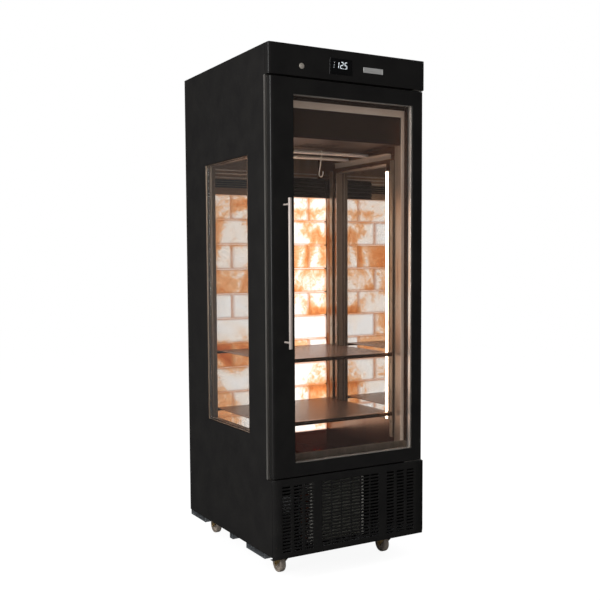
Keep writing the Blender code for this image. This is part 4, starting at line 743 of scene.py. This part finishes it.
def buildBar(node):
    low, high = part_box(node)
    radius = (high.z - low.z) / 2
    turn = bar["endRound"]
    bm = bmesh.new()
    addTurned(bm, [(0, low.x), (radius - turn, low.x), (radius, low.x + turn), (radius, high.x - turn),
                   (radius - turn, high.x), (0, high.x)], "X",
              (0, (low.y + high.y) / 2, (low.z + high.z) / 2), bar["steps"])
    placePiece(node + "_round", closeUp(bm), "chromePlate", node, smooth=40)


# shoulder is the tread's profile, as (in from the radius, in from the side)
wheel = {"tread": 0.0075, "web": 0.0042, "hub": 0.0125, "bore": 0.0043, "steps": 64, "round": 0.001,
         "fillet": 0.003, "shoulder": ((0.005, 0), (0.002, 0.0012), (0.0005, 0.0035), (0, 0.007))}


def buildWheel(node):
    low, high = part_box(node)
    middle = (low + high) / 2
    radius = (high.y - low.y) / 2
    half = (high.x - low.x) / 2
    rim, hub, web = radius - wheel["tread"], wheel["hub"], wheel["web"]
    turn, fillet = wheel["round"], wheel["fillet"]
    side = [(wheel["bore"], -half), (hub - turn, -half), (hub, -half + turn), (hub + turn, -web - turn),
            (hub + fillet, -web), (rim - fillet, -web), (rim - turn, -web - turn), (rim, -half + turn),
            (rim + turn, -half)]
    side += [(radius - down, -half + inward) for down, inward in wheel["shoulder"]]
    profile = side + [(size, -way) for size, way in reversed(side)]
    bm = bmesh.new()
    addTurned(bm, profile + profile[:1], "X", middle, wheel["steps"])
    placePiece(node + "_moulded", closeUp(bm), "wheelPolyamide", node, smooth=35)


hook = {"flat": math.radians(8), "shape": math.radians(60), "levels": 2}


def buildHook(node):
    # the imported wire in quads, since its flat sides joined would web the loops, rounded by subdivision
    bm = packedCopy(node)
    bmesh.ops.join_triangles(bm, faces=bm.faces[:], angle_face_threshold=hook["flat"],
                             angle_shape_threshold=hook["shape"])
    piece = placePiece(node + "_wire", bm, "chromePlate", node, smooth=80)
    rounding = piece.modifiers.new("Round", "SUBSURF")
    rounding.levels = hook["levels"]
    rounding.render_levels = hook["levels"]


buildHandle()
for word in ("front", "rear"):
    buildBar("hanging_bar_" + word)
    buildHook("hanging_hook_" + word)
    for side in ("left", "right"):
        buildWheel(f"castor_{word}_{side}_wheel")
print("round pieces built")


# Light strips: an aluminium channel on the wall with an opal cover toward the chamber

strip = {"cover": 0.006, "margin": 0.0012, "round": 0.0012, "cap": 0.004, "edge": 0.0004}


def buildStrip(word):
    node = "light_strip_" + word
    low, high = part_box(node)
    inward = 1 if word == "left" else -1
    wall = low.x if word == "left" else high.x
    split = (high.x if word == "left" else low.x) - inward * strip["cover"]
    room = split + inward * strip["cover"]
    bm = bmesh.new()
    addBlock(bm, (min(wall, split), low.y, low.z), (max(wall, split), high.y, high.z), strip["edge"])
    for start in (low.z, high.z - strip["cap"]):
        addBlock(bm, (min(split, room), low.y, start), (max(split, room), high.y, start + strip["cap"]),
                 strip["edge"])
    placePiece(node + "_channel", bm, "plateAluminium", node)
    bm = bmesh.new()
    addBlock(bm, (min(split, room), low.y + strip["margin"], low.z + strip["cap"]),
             (max(split, room), high.y - strip["margin"], high.z - strip["cap"]), strip["round"])
    placePiece(node + "_cover", bm, "lightCover", node, replaces=False, smooth=40)


buildStrip("left")
buildStrip("right")


# Back of the chamber above the salt: pressed beads in painted highlights and a dark louvred band beside the
# outlet

# beads above the outlet's top run on over it
backBand = {"beads": (1.647, 1.665, 1.681), "bead": 0.006, "stand": 0.003, "beadRound": (0.0014, 3),
            "louvres": (1.603, 1.613, 1.623, 1.633), "louvre": 0.008, "depth": 0.005,
            "louvreRound": (0.001, 2), "beside": 0.002, "outletTop": 1.655}


def buildBackBand():
    left, right = (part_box("salt_wall")[side].x for side in (0, 1))
    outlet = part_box("air_outlet")[0].x - backBand["beside"]
    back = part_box("air_outlet")[1].y
    bm = bmesh.new()
    for height in backBand["beads"]:
        end = outlet if height < backBand["outletTop"] else right
        addBlock(bm, (left, back - backBand["stand"], height), (end, back, height + backBand["bead"]),
                 *backBand["beadRound"])
    # the pressed beads of the liner in the pale chrome finish: painted highlights
    placePiece("back_beads", bm, "chromePlate", "chamber_shell", replaces=False, smooth=40)
    bm = bmesh.new()
    for height in backBand["louvres"]:
        addBlock(bm, (left, back - backBand["depth"], height), (outlet, back, height + backBand["louvre"]),
                 *backBand["louvreRound"])
    placePiece("back_louvres", bm, "outletAbsAndShade", "air_outlet", replaces=False, smooth=40)


buildBackBand()


# Condenser: close fins between two end plates, with the bends of the tubes outside them

# start is how many rises the first bend's middle lies above the coil's foot
coil = {"pitch": 0.0025, "fin": 0.0016, "plate": 0.0015, "left": 0.028, "right": 0.011, "flange": 0.011,
        "inset": (0.002, 0.001), "edge": 0.0003, "tube": 0.0042, "rise": 0.0265, "start": 1.1,
        "clear": 0.0005, "rows": (0.3, 0.72), "steps": 12, "arcSteps": 10}


def addTube(bm, points, radius, steps):
    # rings round each point of a path, joined into a closed tube
    rings = []
    for index, point in enumerate(points):
        before, after = points[max(index - 1, 0)], points[min(index + 1, len(points) - 1)]
        turn = (after - before).to_track_quat("Z", "Y")
        angles = [math.tau * step / steps for step in range(steps)]
        ring = [point + turn @ Vector((radius * math.cos(angle), radius * math.sin(angle), 0))
                for angle in angles]
        rings.append([bm.verts.new(spot) for spot in ring])
    for first, second in zip(rings, rings[1:]):
        for step in range(steps):
            bm.faces.new((first[step], first[(step + 1) % steps], second[(step + 1) % steps], second[step]))
    bm.faces.new(rings[0][::-1])
    bm.faces.new(rings[-1])


def buildCondenser():
    low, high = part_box("condenser_coil")
    left, right = low.x + coil["left"], high.x - coil["right"]
    bm = bmesh.new()
    count = int((right - left) / coil["pitch"])
    for index in range(1, count):
        place = left + index * (right - left) / count
        addBlock(bm, (place, low.y + coil["inset"][0], low.z + coil["inset"][1]),
                 (place + coil["fin"], high.y, high.z - coil["inset"][1]))
    placePiece("condenser_fins", bm, "condenserFins", "condenser_coil")
    bm = bmesh.new()
    for place in (left, right - coil["plate"]):
        addBlock(bm, (place, low.y, low.z), (place + coil["plate"], high.y, high.z), coil["edge"])
        addBlock(bm, (place, low.y, low.z), (place + coil["flange"], low.y + coil["plate"], high.z),
                 coil["edge"])
    placePiece("condenser_ends", closeUp(bm), "endPlateZinc", "condenser_coil", replaces=False)
    bm = bmesh.new()
    bend = coil["rise"] / 2
    rises = int((high.z - low.z) / coil["rise"])
    for depth in coil["rows"]:
        along = low.y + (high.y - low.y) * depth
        for index in range(rises - 1):
            middle = low.z + coil["rise"] * (index + coil["start"])
            side = right if index % 2 else left
            reach = coil["right"] if index % 2 else -coil["left"]
            reach -= math.copysign(coil["tube"] + coil["clear"], reach)
            angles = [math.pi * step / coil["arcSteps"] for step in range(coil["arcSteps"] + 1)]
            arc = [Vector((side + reach * math.sin(angle), along, middle - bend * math.cos(angle)))
                   for angle in angles]
            addTube(bm, arc, coil["tube"], coil["steps"])
    placePiece("condenser_bends", closeUp(bm), "copperTube", "condenser_coil", replaces=False, smooth=40)
    print("condenser fins:", count - 1)


buildCondenser()


# Display digits and bare plate

display = {"text": "12.5", "height": 0.024, "width": 0.0100, "bar": 0.0017, "gap": 0.0006, "pitch": 0.0190,
           "slant": 0.12, "lift": 0.0004, "sink": 0.0002, "start": -0.0160, "up": 0.0055,
           "dotBack": 0.001, "dotHalf": 0.0022, "ticks": (0.008, -0.001, -0.010), "tickHalf": 0.002,
           "ticksAt": -0.032}
# which of the seven segments are lit: top, upper left, upper right, middle, lower left, lower right, bottom
litSegments = {"1": "0010010", "2": "1011101", "5": "1101011"}


def addSegment(bm, start, end, place):
    # a flat bar with pointed ends, leaning with the digit
    low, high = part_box("display_module")
    along = Vector((end[0] - start[0], end[1] - start[1])).normalized()
    across = Vector((-along.y, along.x)) * display["bar"] / 2
    start, end = Vector(start) + along * display["gap"], Vector(end) - along * display["gap"]
    tip = along * display["bar"] / 2
    outline = [start, start + tip - across, end - tip - across,
               end, end - tip + across, start + tip + across]
    middleX, middleZ = (low.x + high.x) / 2 + place, (low.z + high.z) / 2 + display["up"]
    points = [(middleX + spot.x + display["slant"] * spot.y, middleZ + spot.y) for spot in outline]
    front = [bm.verts.new((x, low.y - display["lift"], z)) for x, z in points]
    back = [bm.verts.new((x, low.y + display["sink"], z)) for x, z in points]
    bm.faces.new(front)
    for index in range(len(points)):
        after = (index + 1) % len(points)
        bm.faces.new((front[index], back[index], back[after], front[after]))


def buildDisplay():
    half, top = display["width"] / 2, display["height"] / 2
    bars = [((-half, top), (half, top)), ((-half, 0), (-half, top)), ((half, 0), (half, top)),
            ((-half, 0), (half, 0)), ((-half, -top), (-half, 0)), ((half, -top), (half, 0)),
            ((-half, -top), (half, -top))]
    bm = bmesh.new()
    place = display["start"]
    for letter in display["text"]:
        if letter == ".":
            dot = place - display["pitch"] / 2 - display["dotBack"]
            addSegment(bm, (-display["dotHalf"], -top), (display["dotHalf"], -top), dot)
            continue
        for ends, lit in zip(bars, litSegments[letter]):
            if lit == "1":
                addSegment(bm, *ends, place)
        place += display["pitch"]
    for up in display["ticks"]:
        addSegment(bm, (-display["tickHalf"], up), (display["tickHalf"], up), display["ticksAt"])
    placePiece("display_digits", closeUp(bm), "displaySegment", "display_module", replaces=False)


# insets are (width, depth) of the flat border and of the step inside it
plate = {"left": 0.061, "right": 0.155, "low": 2.005, "high": 2.026, "thick": 0.0012, "sink": 0.0001,
         "edge": 0.0004, "insets": ((0.0018, 0), (0.0004, -0.0003))}


def buildPlate():
    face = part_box("head_fascia")[0].y
    bm = bmesh.new()
    addBlock(bm, (plate["left"], face - plate["thick"], plate["low"]),
             (plate["right"], face + plate["sink"], plate["high"]), plate["edge"])
    front = min(bm.faces, key=lambda side: side.calc_center_median().y)
    for width, depth in plate["insets"]:
        bmesh.ops.inset_region(bm, faces=[front], thickness=width, depth=depth)
    placePiece("bare_plate", bm, "plateAluminium", "head_fascia", replaces=False)


buildDisplay()
buildPlate()
print("head details built")


# Camera and studio

studio = {"fill": 0.62, "reflection": 0.05, "floorWhite": 1.22, "floorShare": 0.76, "floorMirrored": 0.06,
          "floorHalf": 14, "flagHalf": 1.6, "flagPlace": (0.60, 0.6, 1.2), "aim": (0, 0, 1.0),
          "lamps": {"key": ((-3.2, -3.4, 3.6), (2.6, 2.6), 21.0),
                    "side": ((3.6, 0.9, 2.4), (2.2, 2.2), 42.0),
                    "left": ((-3.4, -0.9, 2.0), (1.1, 2.4), 142.0),
                    "back": ((1.2, 3.6, 3.6), (2.4, 2.4), 60.0)}}
camera = {"place": (-1.9323, -3.2868, 1.2465), "yaw": 0.5066, "pitch": 0.0694, "roll": -0.0069,
          "focal": 872.3891, "centre": (281.676, 325.9658), "frame": 600, "sensor": 36}


def buildCamera():
    right = Vector((math.cos(camera["yaw"]), -math.sin(camera["yaw"]), 0))
    ahead = Vector((math.sin(camera["yaw"]), math.cos(camera["yaw"]), 0))
    up = Vector((0, 0, 1))
    tilt, roll = camera["pitch"], camera["roll"]
    aim = ahead * math.cos(tilt) - up * math.sin(tilt)
    head = up * math.cos(tilt) + ahead * math.sin(tilt)
    side = right * math.cos(roll) + head * math.sin(roll)
    top = head * math.cos(roll) - right * math.sin(roll)
    data = bpy.data.cameras.new("photoCamera")
    data.sensor_width = camera["sensor"]
    data.lens = camera["focal"] * camera["sensor"] / camera["frame"]
    data.shift_x = (camera["frame"] / 2 - camera["centre"][0]) / camera["frame"]
    data.shift_y = (camera["centre"][1] - camera["frame"] / 2) / camera["frame"]
    view = addObject("photoCamera", data)
    turn = Matrix((side, top, -aim)).transposed().to_4x4()
    view.matrix_world = Matrix.Translation(camera["place"]) @ turn
    bpy.context.scene.camera = view


def addFirstSight(tree, path):
    # 1 for what the camera sees by itself or through glass, 0 for all other light
    bounced = addNode(tree, "Math", {"operation": "ADD"},
                      {0: path.outputs["Glossy Depth"], 1: path.outputs["Diffuse Depth"]})
    clear = addNode(tree, "MapRange", {"To Min": 1.0, "To Max": 0.0},
                    {"Value": bounced.outputs["Value"]})
    through = addNode(tree, "Math", {"operation": "MULTIPLY"},
                      {0: path.outputs["Is Transmission Ray"], 1: clear.outputs["Result"]})
    sight = addNode(tree, "Math", {"operation": "MAXIMUM"},
                    {0: path.outputs["Is Camera Ray"], 1: through.outputs["Value"]})
    return sight.outputs["Value"]


def addPlane(name, half, turn, place, material):
    bm = bmesh.new()
    bmesh.ops.create_grid(bm, x_segments=1, y_segments=1, size=half)
    bmesh.ops.rotate(bm, verts=bm.verts[:], cent=(0, 0, 0), matrix=Matrix.Rotation(turn, 3, "Y"))
    bmesh.ops.translate(bm, verts=bm.verts[:], vec=place)
    plane = addObject(name, meshOf(name, bm))
    plane.data.materials.append(material)
    return plane


def buildStudio():
    scene = bpy.context.scene
    scene.view_settings.view_transform = "Standard"
    world = bpy.data.worlds.new("studio")
    scene.world = world
    world.use_nodes = True
    tree = world.node_tree
    backdrop = tree.nodes["Background"]
    # white where it is looked at, also through glass, a soft fill for paint and dim in mirrors
    path = addNode(tree, "LightPath")
    mirrored = addNode(tree, "MapRange",
                       {"To Min": studio["fill"], "To Max": studio["reflection"]},
                       {"Value": path.outputs["Glossy Depth"]})
    level = addNode(tree, "MapRange", {"To Max": 1.0},
                    {"Value": addFirstSight(tree, path), "To Min": mirrored.outputs["Result"]})
    tree.links.new(level.outputs["Result"], backdrop.inputs["Strength"])
    backdrop.inputs["Color"].default_value = (1, 1, 1, 1)

    paint = {"Base Color": hexColor("#b9b9b9"), "Roughness": 0.9, "Specular IOR Level": 0.0}
    material, tree, shader = startMaterial("paleFloor", paint)
    path = addNode(tree, "LightPath")
    white = addNode(tree, "Emission", {"Color": (1, 1, 1, 1), "Strength": studio["floorWhite"]})
    share = addNode(tree, "Math", {"operation": "MULTIPLY", 1: studio["floorShare"]},
                    {0: addFirstSight(tree, path)})
    blend = addNode(tree, "MixShader", {},
                    {0: share.outputs["Value"], 1: shader.outputs["BSDF"], 2: white.outputs["Emission"]})
    # mirrored in steel and paint the floor is as dim as the rest of the studio
    dim = addNode(tree, "Emission", {"Color": (1, 1, 1, 1), "Strength": studio["floorMirrored"]})
    mirrored = addNode(tree, "Math", {"operation": "MINIMUM", 1: 1.0},
                       {0: path.outputs["Glossy Depth"]})
    whole = addNode(tree, "MixShader", {},
                    {0: mirrored.outputs["Value"], 1: blend.outputs["Shader"], 2: dim.outputs["Emission"]})
    tree.links.new(whole.outputs["Shader"], tree.nodes["Material Output"].inputs["Surface"])
    floor = addPlane("floor", studio["floorHalf"], 0, (0, 0, 0), material)

    # a dark flag beyond the right side, which only what is seen through glass meets
    cloth = startMaterial("flagCloth", {"Base Color": hexColor("#1c1816"), "Roughness": 1.0})[0]
    flag = addPlane("flag", studio["flagHalf"], math.radians(90), studio["flagPlace"], cloth)
    flag.visible_camera = False
    flag.visible_diffuse = False
    flag.visible_glossy = False
    flag.visible_shadow = False

    for name, (place, size, power) in studio["lamps"].items():
        data = bpy.data.lights.new(name, "AREA")
        data.shape = "RECTANGLE"
        data.size, data.size_y = size
        data.energy = power
        lamp = addObject(name, data)
        lamp.location = place
        toward = Vector(studio["aim"]) - Vector(place)
        lamp.rotation_euler = toward.to_track_quat("-Z", "Y").to_euler()


buildCamera()
buildStudio()
print("studio ready")
